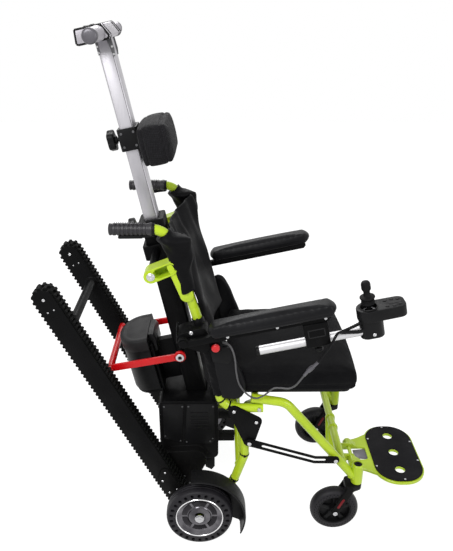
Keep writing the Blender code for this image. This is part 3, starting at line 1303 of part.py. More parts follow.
def belt_mesh(low, high):
    """A closed belt with a row of tapered lugs on its outer face."""
    total = 2 * (math.pi * BELT_IN_R + TRACK_LENGTH)
    pitch = total / LUGS
    base, tip = BELT_IN_R + BELT_T, BELT_IN_R + BELT_T + LUG_H
    shape = bmesh.new()
    cells = []
    for k in range(LUGS):
        start = k * pitch
        marks = [(0.0, BELT_IN_R), (0.0, base), (0.5 - LUG_TIP / 2, tip), (0.5 + LUG_TIP / 2, tip)]
        spots = [loop_point(start + share * pitch, radius) for share, radius in marks]
        cells.append([[shape.verts.new((x, y, z)) for x, z in spots] for y in (low, high)])
    for k in range(LUGS):
        here, ahead = cells[k], cells[(k + 1) % LUGS]
        for row in (0, 1):
            shape.faces.new([*here[row], ahead[row][1], ahead[row][0]])
        for a in (1, 2):
            shape.faces.new((here[0][a], here[0][a + 1], here[1][a + 1], here[1][a]))
        shape.faces.new((here[0][3], ahead[0][1], ahead[1][1], here[1][3]))
        shape.faces.new((here[0][0], ahead[0][0], ahead[1][0], here[1][0]))
    return finished(shape)


def make_track(track, label, side):
    half, plate = TRACK_W / 2, TRACK_PLATE_T
    inner, outer = TRACK_Y - half, TRACK_Y + half
    stadium = hull([(0.0, 0.0, TRACK_PLATE_R), (0.0, TRACK_LENGTH, TRACK_PLATE_R)], 18)

    def span(low, high):
        return sorted((side * low, side * high))

    frame = put("track_frame_" + label, prism(stadium, *span(inner, inner + plate)), BLACK, track)
    join(frame, prism(stadium, *span(outer - plate, outer)))
    core = BELT_IN_R - BEAM_GAP
    beam_low, beam_high = BELT_IN_R + BEAM_END, TRACK_LENGTH - BELT_IN_R - BEAM_END
    beam = rounded(-core, core, beam_low, beam_high, BEAM_CORNER_R, 2)
    join(frame, prism(beam, *span(inner + SINK, outer - SINK)))
    join(frame, rod(IDLER_PIN_R, *span(inner + SINK, outer - SINK), "Y", (0.0, 0.0, TRACK_LENGTH), 12))
    join(frame, prism(hull(TRACK_BRACKET, 12), *span(outer - SINK, outer + TRACK_BRACKET_T)))
    cut(frame, drill(SHAFT_R + RUN, *span(inner - PAST, outer + PAST)))
    gap = plate + RUN
    put("track_belt_" + label, belt_mesh(*span(inner + gap, outer - gap)), RUBBER, track)
    bore = IDLER_PIN_R + RUN
    wheel = [(bore, inner + gap), (PULLEY_R, inner + gap), (PULLEY_R, outer - gap), (bore, outer - gap)]
    idler = turned([(r, side * (y - TRACK_Y)) for r, y in wheel], 18, "Y", closed=True)
    put("idler_wheel_" + label, idler, GREY, track, (0.0, side * TRACK_Y, TRACK_LENGTH))


def make_tracks(chair):
    track = axes("track_axes", chair, (TRACK_FOOT[0], 0.0, TRACK_FOOT[1]), TRACK_TILT)
    for label, side in SIDES:
        make_track(track, label, side)
    half, gap = TRACK_W / 2, TRACK_PLATE_T + RUN
    inner, outer = TRACK_Y - half, TRACK_Y + half
    arm = [(SHAFT_R, inner + gap), (PULLEY_R, inner + gap), (PULLEY_R, outer - gap), (SHAFT_R, outer - gap),
           (SHAFT_R, outer + SHAFT_STICK_OUT), (0.0, outer + SHAFT_STICK_OUT)]
    put("drive_shaft", turned([(r, -y) for r, y in arm[::-1]] + arm, 16, "Y"), STEEL, track)
    end, flange = inner - FIT, TRACK_TIE_FLANGE_T
    wide = TRACK_TIE_FLANGE_R
    half_tie = [(TRACK_TIE_R, end - flange), (wide, end - flange), (wide, end), (0.0, end)]
    put("track_cross_tube", turned([(r, -y) for r, y in half_tie[::-1]] + half_tie, 16, "Y",
                                   (TRACK_TIE_X, 0.0, TRACK_TIE_SHARE * TRACK_LENGTH)), BLACK, track)


def make_yoke(lean, chair):
    """A U of flat bar: two arms on the column's shaft and a bar across their rear ends."""
    turn = Matrix.Rotation(-COLUMN_TILT, 3, "Y")
    shaft = Vector((COLUMN_FOOT[0], 0.0, COLUMN_FOOT[1])) + turn @ Vector((YOKE_SHAFT_X, 0.0, YOKE_SHAFT_Z))
    inner = YOKE_IN_Y + RUN
    arm = hull([(0.0, 0.0, YOKE_EYE_R), (*YOKE_REACH, YOKE_DEPTH / 2)], 12)
    end = TRACK_Y - TRACK_W / 2 - RUN
    bar = circle(*YOKE_REACH, YOKE_DEPTH / 2 - YOKE_BAR_SET, 12)
    yoke = put("lift_yoke", prism(bar, -end, end), RED, chair, shaft)
    join(yoke, together(prism(arm, inner, inner + YOKE_T), prism(arm, -inner - YOKE_T, -inner)))
    cut(yoke, drill(YOKE_PIN_R + RUN, -CUTTER, CUTTER))


def make_cable(chair):
    route = smooth_route(CABLE_ROUTE, 2)
    cable = bpy.data.objects.new("joystick_cable", tube_curve(route, CABLE_R, 2))
    bpy.context.scene.collection.objects.link(cable)
    cable.data.materials.append(CABLE)
    cable.parent = chair
    first, last = CONNECTOR_SPAN
    connector = put("cable_connector", pipe(route[first:last], CONNECTOR_R, 2), BLACK, chair)
    bore = (CABLE_R + FIT) / math.cos(math.pi / 8)
    cut(connector, pipe(route[first - 1:last + 1], bore, 2))


LIME = paint("lime paint", (0.52, 0.72, 0.03), 0.32)
BLACK = paint("black plastic", (0.02, 0.02, 0.022), 0.45)
GREY = paint("grey plastic", (0.10, 0.10, 0.105), 0.5)
RED = paint("red paint", (0.75, 0.01, 0.015), 0.3)
ALLOY = paint("brushed alloy", (0.72, 0.73, 0.74), 0.35, 1.0)
STEEL = paint("steel", (0.55, 0.55, 0.56), 0.35, 1.0)
CHROME = paint("polished hub", (0.8, 0.8, 0.8), 0.15, 1.0)
RUBBER = paint("black rubber", (0.018, 0.018, 0.018), 0.8)
CLOTH = paint("black cloth", (0.015, 0.015, 0.016), 0.9)
CABLE = paint("grey cable", (0.35, 0.36, 0.37), 0.5)


def main():
    chair = axes("wheelchair", None, (REAR_AXLE_X, 0.0, 0.0))
    make_front_frame(chair)
    make_footplate(chair)
    rear_cross = make_rear_frame(chair)
    make_seat_frame(chair)
    make_seat(chair)
    make_back(chair)
    for label, side in SIDES:
        make_back_tube(chair, label, side)
        make_push_grip(chair, label, side)
        make_back_hinge(chair, label, side)
        make_pivot_plate(chair, label, side)
        make_strut_link(chair, label, side)
        make_guard(chair, label, side)
        make_rear_wheel(chair, label, side)
        make_castor(chair, label, side)
        arm, tube_y = make_armrest(chair, label, side)
        if side < 0:
            make_joystick(arm, tube_y)
    lean = make_column(chair)
    make_battery(lean)
    make_mast(lean)
    make_handle(lean)
    make_headrest(lean)
    make_dock_bracket(chair, lean)
    make_drive_housing(chair, lean, rear_cross)
    make_tracks(chair)
    make_yoke(lean, chair)
    make_cable(chair)


remove_old_objects()
main()
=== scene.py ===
import math

import bmesh
import bpy
from mathutils import Matrix, Vector


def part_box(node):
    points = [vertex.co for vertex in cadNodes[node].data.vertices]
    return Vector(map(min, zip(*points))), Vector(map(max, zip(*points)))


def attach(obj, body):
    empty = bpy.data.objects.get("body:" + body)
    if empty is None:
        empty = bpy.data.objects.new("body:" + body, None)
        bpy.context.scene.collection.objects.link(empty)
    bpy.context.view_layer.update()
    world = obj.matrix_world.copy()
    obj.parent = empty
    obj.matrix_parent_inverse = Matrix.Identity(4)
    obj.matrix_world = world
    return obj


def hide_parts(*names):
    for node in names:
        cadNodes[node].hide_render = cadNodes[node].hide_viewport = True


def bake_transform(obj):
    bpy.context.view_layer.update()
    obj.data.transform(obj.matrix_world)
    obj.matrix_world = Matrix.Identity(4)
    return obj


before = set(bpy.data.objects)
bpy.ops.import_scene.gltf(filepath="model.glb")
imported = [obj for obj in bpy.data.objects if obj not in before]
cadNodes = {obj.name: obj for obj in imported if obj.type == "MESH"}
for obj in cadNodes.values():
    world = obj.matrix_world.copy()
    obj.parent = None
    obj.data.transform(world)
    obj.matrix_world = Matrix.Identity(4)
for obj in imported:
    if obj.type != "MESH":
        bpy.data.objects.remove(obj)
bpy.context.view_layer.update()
scene = bpy.context.scene
axleX = -0.1458  # the rear axle, from which the chair was measured
sides = (("right", -1.0), ("left", 1.0))
print("frame loaded with", len(cadNodes), "nodes")


def at(x, y, z):
    return Vector((x + axleX, y, z))


def leaning(x, z, degrees):
    return Matrix.Translation(at(x, 0.0, z)) @ Matrix.Rotation(-math.radians(degrees), 4, "Y")


toPart = Matrix.Translation((axleX, 0.0, 0.0))
columnAxes = leaning(-0.0225, 0.45, 11.9)
armAxes = leaning(-0.034, 0.707, 12.0)
backAxes = leaning(0.001, 0.756, 16.07)
trackAxes = leaning(-0.069, 0.1018, 26.7)

# camera at the photo's place
cameraSet = {"spot": (-0.08533, -1.78423, 1.56226), "yaw": -0.776375, "pitch": 23.502636,
             "roll": -0.124279, "lens": 41.882}


def makeCamera():
    yaw, pitch, roll = (math.radians(cameraSet[key]) for key in ("yaw", "pitch", "roll"))
    ahead = Vector((-math.sin(yaw) * math.cos(pitch), math.cos(yaw) * math.cos(pitch), -math.sin(pitch)))
    right = Vector((math.cos(yaw), math.sin(yaw), 0.0))
    down = ahead.cross(right)
    side = right * math.cos(roll) + down * math.sin(roll)
    low = down * math.cos(roll) - right * math.sin(roll)
    data = bpy.data.cameras.new("photoCamera")
    data.sensor_width = 36.0
    data.lens = cameraSet["lens"]
    data.clip_start = 0.05
    camera = bpy.data.objects.new("photoCamera", data)
    turn = Matrix((side, -low, -ahead)).transposed().to_4x4()
    camera.matrix_world = Matrix.Translation(cameraSet["spot"]) @ turn
    scene.collection.objects.link(camera)
    scene.camera = camera


makeCamera()
scene.view_settings.view_transform = "Standard"


def addNode(tree, kind, values=None, links=None, **settings):
    made = tree.nodes.new("ShaderNode" + kind)
    for key, value in settings.items():
        setattr(made, key, value)
    for key, value in (values or {}).items():
        made.inputs[key].default_value = value
    for key, socket in (links or {}).items():
        tree.links.new(socket, made.inputs[key])
    return made


def worked(tree, operation, *sockets):
    return addNode(tree, "Math", None, dict(enumerate(sockets)), operation=operation).outputs[0]


# studio
stageSet = {"ambient": 0.36, "floorGlow": 0.93, "floorTone": 0.26, "floorSize": 14.0}
lampSet = {
    "key": {"spot": (-1.3, -2.3, 2.9), "aim": (0.0, 0.0, 0.7), "size": 1.5, "power": 78.0},
    "fill": {"spot": (2.3, -1.9, 1.7), "aim": (0.1, 0.0, 0.5), "size": 1.6, "power": 26.0},
    "rim": {"spot": (-0.5, 2.2, 2.8), "aim": (0.0, 0.0, 0.8), "size": 1.6, "power": 40.0},
}


def seenRays(tree):
    path = addNode(tree, "LightPath").outputs
    both = worked(tree, "MAXIMUM", path["Is Camera Ray"], path["Is Glossy Ray"])
    return worked(tree, "MAXIMUM", both, path["Is Transmission Ray"])


def makeStudio():
    bright = (1.0, 1.0, 1.0, 1.0)
    world = bpy.data.worlds.new("studio")
    world.use_nodes = True
    scene.world = world
    tree = world.node_tree
    tree.nodes.clear()
    plain = addNode(tree, "Background", {0: bright, 1: stageSet["ambient"]})
    white = addNode(tree, "Background", {0: bright, 1: 1.0})
    both = addNode(tree, "MixShader", None, {0: seenRays(tree), 1: plain.outputs[0], 2: white.outputs[0]})
    out = addNode(tree, "OutputWorld")
    tree.links.new(both.outputs[0], out.inputs[0])
    paper = bpy.data.materials.new("white floor")
    paper.use_nodes = True
    tree = paper.node_tree
    tree.nodes.clear()
    lit = addNode(tree, "BsdfDiffuse", {0: (stageSet["floorTone"],) * 3 + (1.0,)})
    glow = addNode(tree, "Emission", {0: bright, 1: stageSet["floorGlow"]})
    shown = addNode(tree, "AddShader", None, {0: lit.outputs[0], 1: glow.outputs[0]})
    dull = addNode(tree, "BsdfDiffuse", {0: (0.8, 0.8, 0.8, 1.0)})
    both = addNode(tree, "MixShader", None, {0: seenRays(tree), 1: dull.outputs[0], 2: shown.outputs[0]})
    out = addNode(tree, "OutputMaterial")
    tree.links.new(both.outputs[0], out.inputs[0])
    bm = bmesh.new()
    bmesh.ops.create_grid(bm, x_segments=1, y_segments=1, size=stageSet["floorSize"] / 2)
    bmesh.ops.translate(bm, verts=bm.verts[:], vec=(0.0, 0.0, -0.0004))
    mesh = bpy.data.meshes.new("floor")
    bm.to_mesh(mesh)
    bm.free()
    mesh.materials.append(paper)
    floor = bpy.data.objects.new("floor", mesh)
    scene.collection.objects.link(floor)
    for name, lamp in lampSet.items():
        data = bpy.data.lights.new(name, "AREA")
        data.shape = "DISK"
        data.size = lamp["size"]
        data.energy = lamp["power"]
        light = bpy.data.objects.new(name, data)
        spot = Vector(lamp["spot"])
        light.location = spot
        light.rotation_euler = (Vector(lamp["aim"]) - spot).to_track_quat("-Z", "Y").to_euler()
        scene.collection.objects.link(light)


makeStudio()
print("camera and studio set")


# shared effects
def newGroup(name, takes, gives):
    tree = bpy.data.node_groups.new(name, "ShaderNodeTree")
    for label, value in takes.items():
        socket = tree.interface.new_socket(name=label, in_out="INPUT", socket_type="NodeSocketFloat")
        socket.default_value = value
    for label in gives:
        tree.interface.new_socket(name=label, in_out="OUTPUT", socket_type="NodeSocketFloat")
    coords = addNode(tree, "TexCoord").outputs["Object"]
    return tree, tree.nodes.new("NodeGroupInput"), tree.nodes.new("NodeGroupOutput"), coords


def makeGrain():
    tree, takes, gives, coords = newGroup("fine grain", {"Scale": 900.0}, ("Height", "Spread"))
    scale = takes.outputs["Scale"]
    fine = addNode(tree, "TexNoise", {"Detail": 3.0, "Roughness": 0.6}, {"Vector": coords, "Scale": scale})
    cells = addNode(tree, "TexVoronoi", None, {"Vector": coords, "Scale": scale})
    both = worked(tree, "ADD", fine.outputs[0], cells.outputs["Distance"])
    broad = addNode(tree, "TexNoise", {"Scale": 16.0, "Detail": 5.0, "Roughness": 0.6}, {"Vector": coords})
    tree.links.new(both, gives.inputs["Height"])
    tree.links.new(broad.outputs[0], gives.inputs["Spread"])
    return tree


def makeWeave():
    tree, takes, gives, coords = newGroup("woven threads", {"Pitch": 0.0018}, ("Height", "ShadeAndSlubs"))
    turns = addNode(tree, "Math", {0: 2 * math.pi}, {1: takes.outputs["Pitch"]}, operation="DIVIDE")
    spread = addNode(tree, "VectorMath", None, {0: coords, "Scale": turns.outputs[0]}, operation="SCALE")
    parts = addNode(tree, "SeparateXYZ", None, {0: spread.outputs[0]})
    waves = [worked(tree, "SINE", out) for out in parts.outputs]
    products = [worked(tree, "MULTIPLY", waves[a], waves[b]) for a, b in ((0, 1), (1, 2), (2, 0))]
    total = worked(tree, "ADD", worked(tree, "ADD", products[0], products[1]), products[2])
    height = addNode(tree, "MapRange", {1: -1.0, 2: 1.0}, {0: total})
    slubs = addNode(tree, "TexNoise", {"Scale": 120.0, "Detail": 2.0}, {"Vector": coords})
    # the colour mask is the thread height times slub noise: the low hollows between threads take the darker
    # gap colour, which is painted shade between the threads, and the slubs add real random tone
    shadeAndSlubs = worked(tree, "MULTIPLY", height.outputs[0], slubs.outputs[0])
    tree.links.new(height.outputs[0], gives.inputs["Height"])
    tree.links.new(shadeAndSlubs, gives.inputs["ShadeAndSlubs"])
    return tree


def makeMarks():
    tree, takes, gives, coords = newGroup("handling marks", {"Size": 9.0, "Amount": 0.4}, ("Mask",))
    broad = addNode(tree, "TexNoise", {"Detail": 6.0, "Roughness": 0.65, "Distortion": 0.4},
                    {"Vector": coords, "Scale": takes.outputs["Size"]})
    patch = addNode(tree, "MapRange", {1: 0.55, 2: 0.74}, {0: broad.outputs[0], 4: takes.outputs["Amount"]})
    thin = addNode(tree, "TexNoise", {"Scale": 210.0, "Detail": 3.0, "Distortion": 1.5}, {"Vector": coords})
    broken = addNode(tree, "MapRange", {1: 0.42, 2: 0.62}, {0: thin.outputs[0]})
    mask = worked(tree, "MULTIPLY", patch.outputs[0], broken.outputs[0])
    tree.links.new(mask, gives.inputs["Mask"])
    return tree


def makeDust():
    tree, takes, gives, coords = newGroup("floor dust", {"Top": 0.2, "Amount": 0.3}, ("Mask",))
    height = addNode(tree, "SeparateXYZ", None, {0: coords}).outputs[2]
    limits = {0: height, 1: takes.outputs["Top"], 4: takes.outputs["Amount"]}
    fall = addNode(tree, "MapRange", {2: 0.0}, limits)
    specks = addNode(tree, "TexNoise", {"Scale": 60.0, "Detail": 5.0, "Roughness": 0.7}, {"Vector": coords})
    mask = worked(tree, "MULTIPLY", fall.outputs[0], specks.outputs[0])
    tree.links.new(mask, gives.inputs["Mask"])
    return tree


grainGroup, weaveGroup, marksGroup, dustGroup = makeGrain(), makeWeave(), makeMarks(), makeDust()


def effect(tree, group, **values):
    made = tree.nodes.new("ShaderNodeGroup")
    made.node_tree = group
    for key, value in values.items():
        made.inputs[key].default_value = value
    return made.outputs


def mixColour(tree, factor, first, second):
    made = addNode(tree, "Mix", None, {0: factor}, data_type="RGBA")
    for index, colour in ((6, first), (7, second)):
        if isinstance(colour, tuple):
            made.inputs[index].default_value = (*colour, 1.0)
        else:
            tree.links.new(colour, made.inputs[index])
    return made.outputs[2]


dustTone = (0.3, 0.28, 0.25)
socketNames = {"metal": "Metallic", "specular": "Specular IOR Level", "coat": "Coat Weight",
               "coatRough": "Coat Roughness", "sheen": "Sheen Weight", "sheenRough": "Sheen Roughness"}


def surface(name, look):
    made = bpy.data.materials.new(name)
    made.use_nodes = True
    tree = made.node_tree
    shader = tree.nodes["Principled BSDF"]
    place = addNode(tree, "TexCoord").outputs["Object"]
    patches = addNode(tree, "TexNoise", {"Scale": look.get("patch", 11.0), "Detail": 4.0},
                      {"Vector": place})
    blotch = addNode(tree, "MapRange", {1: 0.35, 2: 0.65}, {0: patches.outputs[0]})
    colour = mixColour(tree, blotch.outputs[0], look["base"], look["second"])
    grain = effect(tree, grainGroup, Scale=look["grain"])
    height = grain["Height"]
    low, high = look["rough"]
    rough = addNode(tree, "MapRange", {1: 0.3, 2: 0.7, 3: low, 4: high}, {0: grain["Spread"]}).outputs[0]
    if "weave" in look:
        threads = effect(tree, weaveGroup, Pitch=look["weave"])
        height = threads["Height"]
        # the darker gap colour fills the weave's low hollows: painted shade between the threads, varied by
        # real slub noise
        colour = mixColour(tree, threads["ShadeAndSlubs"], look["gap"], colour)
    if "streak" in look:
        lean = (0.0, math.radians(look["lean"]), 0.0)
        turned = addNode(tree, "Mapping", {"Rotation": lean, "Scale": look["streak"]}, {"Vector": place})
        lines = addNode(tree, "TexNoise", {"Scale": 1.0, "Detail": 4.0, "Roughness": 0.7},
                        {"Vector": turned.outputs[0]})
        height = lines.outputs[0]
        rough = addNode(tree, "MapRange", {1: 0.3, 2: 0.7, 3: low, 4: high}, {0: height}).outputs[0]
        colour = mixColour(tree, height, look["base"], look["second"])
    if "marks" in look:
        mask = effect(tree, marksGroup, Size=look["marks"][0], Amount=look["marks"][1])["Mask"]
        colour = mixColour(tree, mask, colour, look["worn"])
        rough = worked(tree, "MAXIMUM", mask, rough)
    if "dust" in look:
        mask = effect(tree, dustGroup, Top=look["dust"][0], Amount=look["dust"][1])["Mask"]
        colour = mixColour(tree, mask, colour, dustTone)
    bump = addNode(tree, "Bump", {"Strength": look.get("strength", 0.25), "Distance": look["depth"]},
                   {"Height": height})
    tree.links.new(colour, shader.inputs["Base Color"])
    tree.links.new(rough, shader.inputs["Roughness"])
    tree.links.new(bump.outputs[0], shader.inputs["Normal"])
    for key, socket in socketNames.items():
        if key in look:
            shader.inputs[socket].default_value = look[key]
    return made


def makeLook(slot, base, second, rough, grain, depth, **more):
    return {"slot": slot, "base": base, "second": second, "rough": rough,
            "grain": grain, "depth": depth, **more}


looks = {
    "lime": makeLook("lime_steel", (0.47, 0.63, 0.02), (0.425, 0.585, 0.014), (0.24, 0.4), 700.0, 0.00012,
                     marks=(13.0, 0.25), worn=(0.55, 0.66, 0.1), dust=(0.26, 0.08), specular=0.35,
                     coat=0.15, coatRough=0.12),
    "blackMetal": makeLook("black_metal", (0.0024, 0.0024, 0.0026), (0.0045, 0.0045, 0.0048), (0.36, 0.56),
                           1500.0, 0.0003, marks=(14.0, 0.3), worn=(0.02, 0.02, 0.021),
                           dust=(0.3, 0.04), specular=0.06),
    "blackPlastic": makeLook("black_plastic", (0.0045, 0.0045, 0.005), (0.0075, 0.0075, 0.008), (0.34, 0.5),
                             1100.0, 0.0003, strength=0.3, marks=(16.0, 0.25),
                             worn=(0.03, 0.03, 0.031), specular=0.12),
    "greyPlastic": makeLook("grey_plastic", (0.011, 0.0107, 0.0114), (0.016, 0.0156, 0.0164), (0.45, 0.62),
                            800.0, 0.0005, strength=0.4, marks=(14.0, 0.3),
                            worn=(0.045, 0.045, 0.047), specular=0.15),
    "rubber": makeLook("black_rubber", (0.007, 0.007, 0.0075), (0.011, 0.011, 0.0115), (0.5, 0.7), 1200.0,
                       0.0003, marks=(22.0, 0.25), worn=(0.03, 0.03, 0.03), specular=0.06),
    "treadRubber": makeLook("black_plastic", (0.007, 0.0067, 0.0078), (0.011, 0.0107, 0.012), (0.55, 0.75),
                            420.0, 0.0006, strength=0.5, marks=(18.0, 0.3),
                            worn=(0.04, 0.04, 0.041), specular=0.06),
    "trackRubber": makeLook("track_rubber", (0.0032, 0.0034, 0.0032), (0.006, 0.006, 0.006), (0.6, 0.82),
                            600.0, 0.0006, strength=0.5, marks=(28.0, 0.35),
                            worn=(0.024, 0.024, 0.023), specular=0.07),
    "tyreRubber": makeLook("tyre_rubber", (0.0105, 0.0098, 0.012), (0.0155, 0.0145, 0.0175), (0.4, 0.6),
                           800.0, 0.0005, marks=(20.0, 0.35), worn=(0.04, 0.039, 0.041),
                           dust=(0.1, 0.05), specular=0.2),
    # gap is the darker colour put into each weave's hollows as painted shade between the threads
    "seatCloth": makeLook("black_cloth", (0.0066, 0.0066, 0.0075), (0.0098, 0.0098, 0.011), (0.72, 0.9),
                          500.0, 0.0007, weave=0.0021, gap=(0.0035, 0.0035, 0.004), strength=0.55,
                          patch=6.0, specular=0.06, sheen=0.03, sheenRough=0.5),
    "meshCloth": makeLook("black_cloth", (0.025, 0.0232, 0.0275), (0.032, 0.03, 0.035), (0.7, 0.9), 500.0,
                          0.0012, weave=0.0042, gap=(0.0045, 0.0045, 0.005), strength=0.8, patch=8.0,
                          specular=0.1, sheen=0.07, sheenRough=0.45),
    "sleeveCloth": makeLook("black_cloth", (0.0032, 0.0031, 0.004), (0.0058, 0.0056, 0.0072), (0.42, 0.58),
                            500.0, 0.0003, weave=0.0016, gap=(0.002, 0.002, 0.0024), strength=0.3,
                            patch=7.0, specular=0.08, sheen=0.01, sheenRough=0.4),
    "padVinyl": makeLook("black_cloth", (0.0058, 0.0058, 0.0066), (0.0085, 0.0085, 0.0096), (0.32, 0.46),
                         430.0, 0.0005, strength=0.3, marks=(12.0, 0.2),
                         worn=(0.018, 0.018, 0.02), specular=0.1),
    "alloy": makeLook("bare_alloy", (0.4, 0.39, 0.415), (0.5, 0.49, 0.515), (0.34, 0.5), 900.0, 0.00015,
                      streak=(900.0, 900.0, 9.0), lean=11.9, strength=0.3, marks=(10.0, 0.2),
                      worn=(0.36, 0.355, 0.37), metal=1.0),
    "tubeAlloy": makeLook("bare_alloy", (0.56, 0.555, 0.565), (0.66, 0.655, 0.665), (0.46, 0.6), 900.0,
                          0.00012, streak=(12.0, 900.0, 900.0), lean=12.0, strength=0.25, metal=1.0),
    "polished": makeLook("polished_hub", (0.72, 0.715, 0.72), (0.8, 0.795, 0.8), (0.1, 0.2), 500.0, 0.0002,
                         strength=0.12, marks=(18.0, 0.3), worn=(0.5, 0.5, 0.5), metal=1.0),
    "hubDish": makeLook("polished_hub", (0.06, 0.057, 0.064), (0.15, 0.145, 0.155), (0.1, 0.24), 500.0,
                        0.0002, patch=26.0, strength=0.15, marks=(22.0, 0.5),
                        worn=(0.3, 0.295, 0.305), metal=1.0),
    "hubPanel": makeLook("polished_hub", (0.018, 0.017, 0.019), (0.036, 0.034, 0.038), (0.2, 0.34), 700.0,
                         0.0002, strength=0.2, marks=(20.0, 0.4), worn=(0.12, 0.12, 0.125), metal=1.0),
    "gripGrey": makeLook("grey_plastic", (0.085, 0.081, 0.093), (0.12, 0.116, 0.13), (0.3, 0.42), 1200.0,
                         0.0002, marks=(18.0, 0.3), worn=(0.2, 0.2, 0.21), metal=0.4),
    "gripRubber": makeLook("black_rubber", (0.02, 0.019, 0.0215), (0.028, 0.0265, 0.03), (0.32, 0.46),
                           900.0, 0.0003, marks=(18.0, 0.3), worn=(0.05, 0.049, 0.052), specular=0.3),
    "accentRed": makeLook("red_plastic", (0.16, 0.003, 0.007), (0.12, 0.002, 0.005), (0.34, 0.46),
                          1000.0, 0.0002, specular=0.2),
    "steel": makeLook("shaft_steel", (0.5, 0.5, 0.51), (0.6, 0.6, 0.61), (0.22, 0.38), 900.0, 0.0002,
                      strength=0.2, marks=(30.0, 0.4), worn=(0.3, 0.29, 0.28), metal=1.0),
    "darkSteel": makeLook("shaft_steel", (0.1, 0.1, 0.105), (0.15, 0.15, 0.155), (0.32, 0.5), 900.0, 0.0002,
                          strength=0.2, marks=(30.0, 0.4), worn=(0.26, 0.26, 0.26), metal=1.0),
    "redPaint": makeLook("red_paint", (0.64, 0.004, 0.007), (0.57, 0.003, 0.006), (0.26, 0.42), 700.0,
                         0.00015, marks=(16.0, 0.3), worn=(0.66, 0.06, 0.05), specular=0.3,
                         coat=0.1, coatRough=0.15),
    "redPlastic": makeLook("red_plastic", (0.62, 0.01, 0.014), (0.54, 0.008, 0.012),
                           (0.34, 0.46), 1000.0, 0.0002),
    "cable": makeLook("grey_cable", (0.058, 0.057, 0.06), (0.078, 0.077, 0.08),
                      (0.42, 0.58), 1500.0, 0.0002),
    "silverPlastic": makeLook("grey_plastic", (0.36, 0.345, 0.375), (0.42, 0.405, 0.435), (0.34, 0.48),
                              1400.0, 0.0002, metal=0.6),
}
finishes = {name: surface(name, look) for name, look in looks.items()}
print("finishes made:", len(finishes))


# modelling helpers
def joined(*parts):
    whole = bmesh.new()
    for part in parts:
        mesh = bpy.data.meshes.new("part")
        part.to_mesh(mesh)
        part.free()
        whole.from_mesh(mesh)
        bpy.data.meshes.remove(mesh)
    return whole


def keepPiece(bm, name, finish, body, replaced=(), slot=None, smooth=35.0):
    bmesh.ops.remove_doubles(bm, verts=bm.verts[:], dist=2e-6)
    bmesh.ops.recalc_face_normals(bm, faces=bm.faces[:])
    mesh = bpy.data.meshes.new(name)
    bm.to_mesh(mesh)
    bm.free()
    mesh.shade_smooth()
    mesh.set_sharp_from_angle(angle=math.radians(smooth))
    mesh.materials.append(finishes[finish])
    piece = bpy.data.objects.new(name, mesh)
    scene.collection.objects.link(piece)
    if body:
        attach(piece, body)
    if replaced:
        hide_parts(*replaced)
    return piece


def moved(bm, matrix):
    bmesh.ops.transform(bm, matrix=matrix, verts=bm.verts[:])
    return bm


def keepParts(parts, axes, *rest, **more):
    return keepPiece(moved(joined(*parts), axes), *rest, **more)


def flipped(half):
    return [(u, -v) for u, v in half[::-1]]


def outward(side, shape):
    return [(reach, side * along) for reach, along in shape]


def between(side, inner, outer):
    return sorted((side * inner, side * outer))


def faced(place, direction):
    return Matrix.Translation(place) @ Vector(direction).to_track_quat("Z", "Y").to_matrix().to_4x4()


def bentRoute(points, radius, steps=10):
    route = [Vector(points[0])]
    for before, corner, after in zip(points, points[1:], points[2:]):
        corner = Vector(corner)
        back, ahead = Vector(before) - corner, Vector(after) - corner
        half = back.angle(ahead) / 2.0
        trim = min(radius / math.tan(half), 0.48 * min(back.length, ahead.length))
        centre = corner + (back.normalized() + ahead.normalized()).normalized() * (trim / math.cos(half))
        arm = corner + back.normalized() * trim - centre
        other = corner + ahead.normalized() * trim - centre
        spinAxis = arm.cross(other).normalized()
        for i in range(steps + 1):
            route.append(centre + Matrix.Rotation(arm.angle(other) * i / steps, 3, spinAxis) @ arm)
    route.append(Vector(points[-1]))
    return route


def tube(points, radius, sidesRound=28):
    line = bpy.data.curves.new("route", "CURVE")
    line.dimensions = "3D"
    line.bevel_depth = radius
    line.bevel_resolution = (sidesRound - 4) // 2
    line.use_fill_caps = True
    spline = line.splines.new("POLY")
    spline.points.add(len(points) - 1)
    for knot, place in zip(spline.points, points):
        knot.co = (*place, 1.0)
    holder = bpy.data.objects.new("route", line)
    mesh = bpy.data.meshes.new_from_object(holder)
    bpy.data.objects.remove(holder)
    bpy.data.curves.remove(line)
    bm = bmesh.new()
    bm.from_mesh(mesh)
    bpy.data.meshes.remove(mesh)
    bmesh.ops.remove_doubles(bm, verts=bm.verts[:], dist=1e-6)
    return bm


axisTurns = {"X": Matrix.Rotation(math.pi / 2, 4, "Y"), "Y": Matrix.Rotation(-math.pi / 2, 4, "X"),
             "Z": Matrix.Identity(4)}


def spun(profile, place, along="Y", steps=48, closed=False, sweep=2 * math.pi):
    bm = bmesh.new()
    line = [bm.verts.new((radius, 0.0, height)) for radius, height in profile]
    edges = [bm.edges.new(pair) for pair in zip(line, line[1:])]
    if closed:
        edges.append(bm.edges.new((line[-1], line[0])))
    full = abs(sweep - 2 * math.pi) < 1e-6
    bmesh.ops.spin(bm, geom=line + edges, cent=(0, 0, 0), axis=(0, 0, 1), angle=sweep,
                   steps=steps, use_merge=full)
    bmesh.ops.remove_doubles(bm, verts=bm.verts[:], dist=1e-6)
    return moved(bm, Matrix.Translation(place) @ axisTurns[along])


def rod(radius, low, high, place, steps=20, along="Y"):
    return spun([(0.0, low), (radius, low), (radius, high), (0.0, high)], place, along, steps)


def bevelled(bm, edges, width, segments=2, clamp=True):
    bmesh.ops.bevel(bm, geom=edges, offset=width, offset_type="OFFSET", segments=segments,
                    profile=0.5, affect="EDGES",
                    clamp_overlap=clamp, material=-1)
    return bm


outlineTurns = {"X": Matrix(((0, 0, 1, 0), (1, 0, 0, 0), (0, 1, 0, 0), (0, 0, 0, 1))),
                "Y": Matrix(((1, 0, 0, 0), (0, 0, 1, 0), (0, 1, 0, 0), (0, 0, 0, 1))),
                "Z": Matrix.Identity(4)}


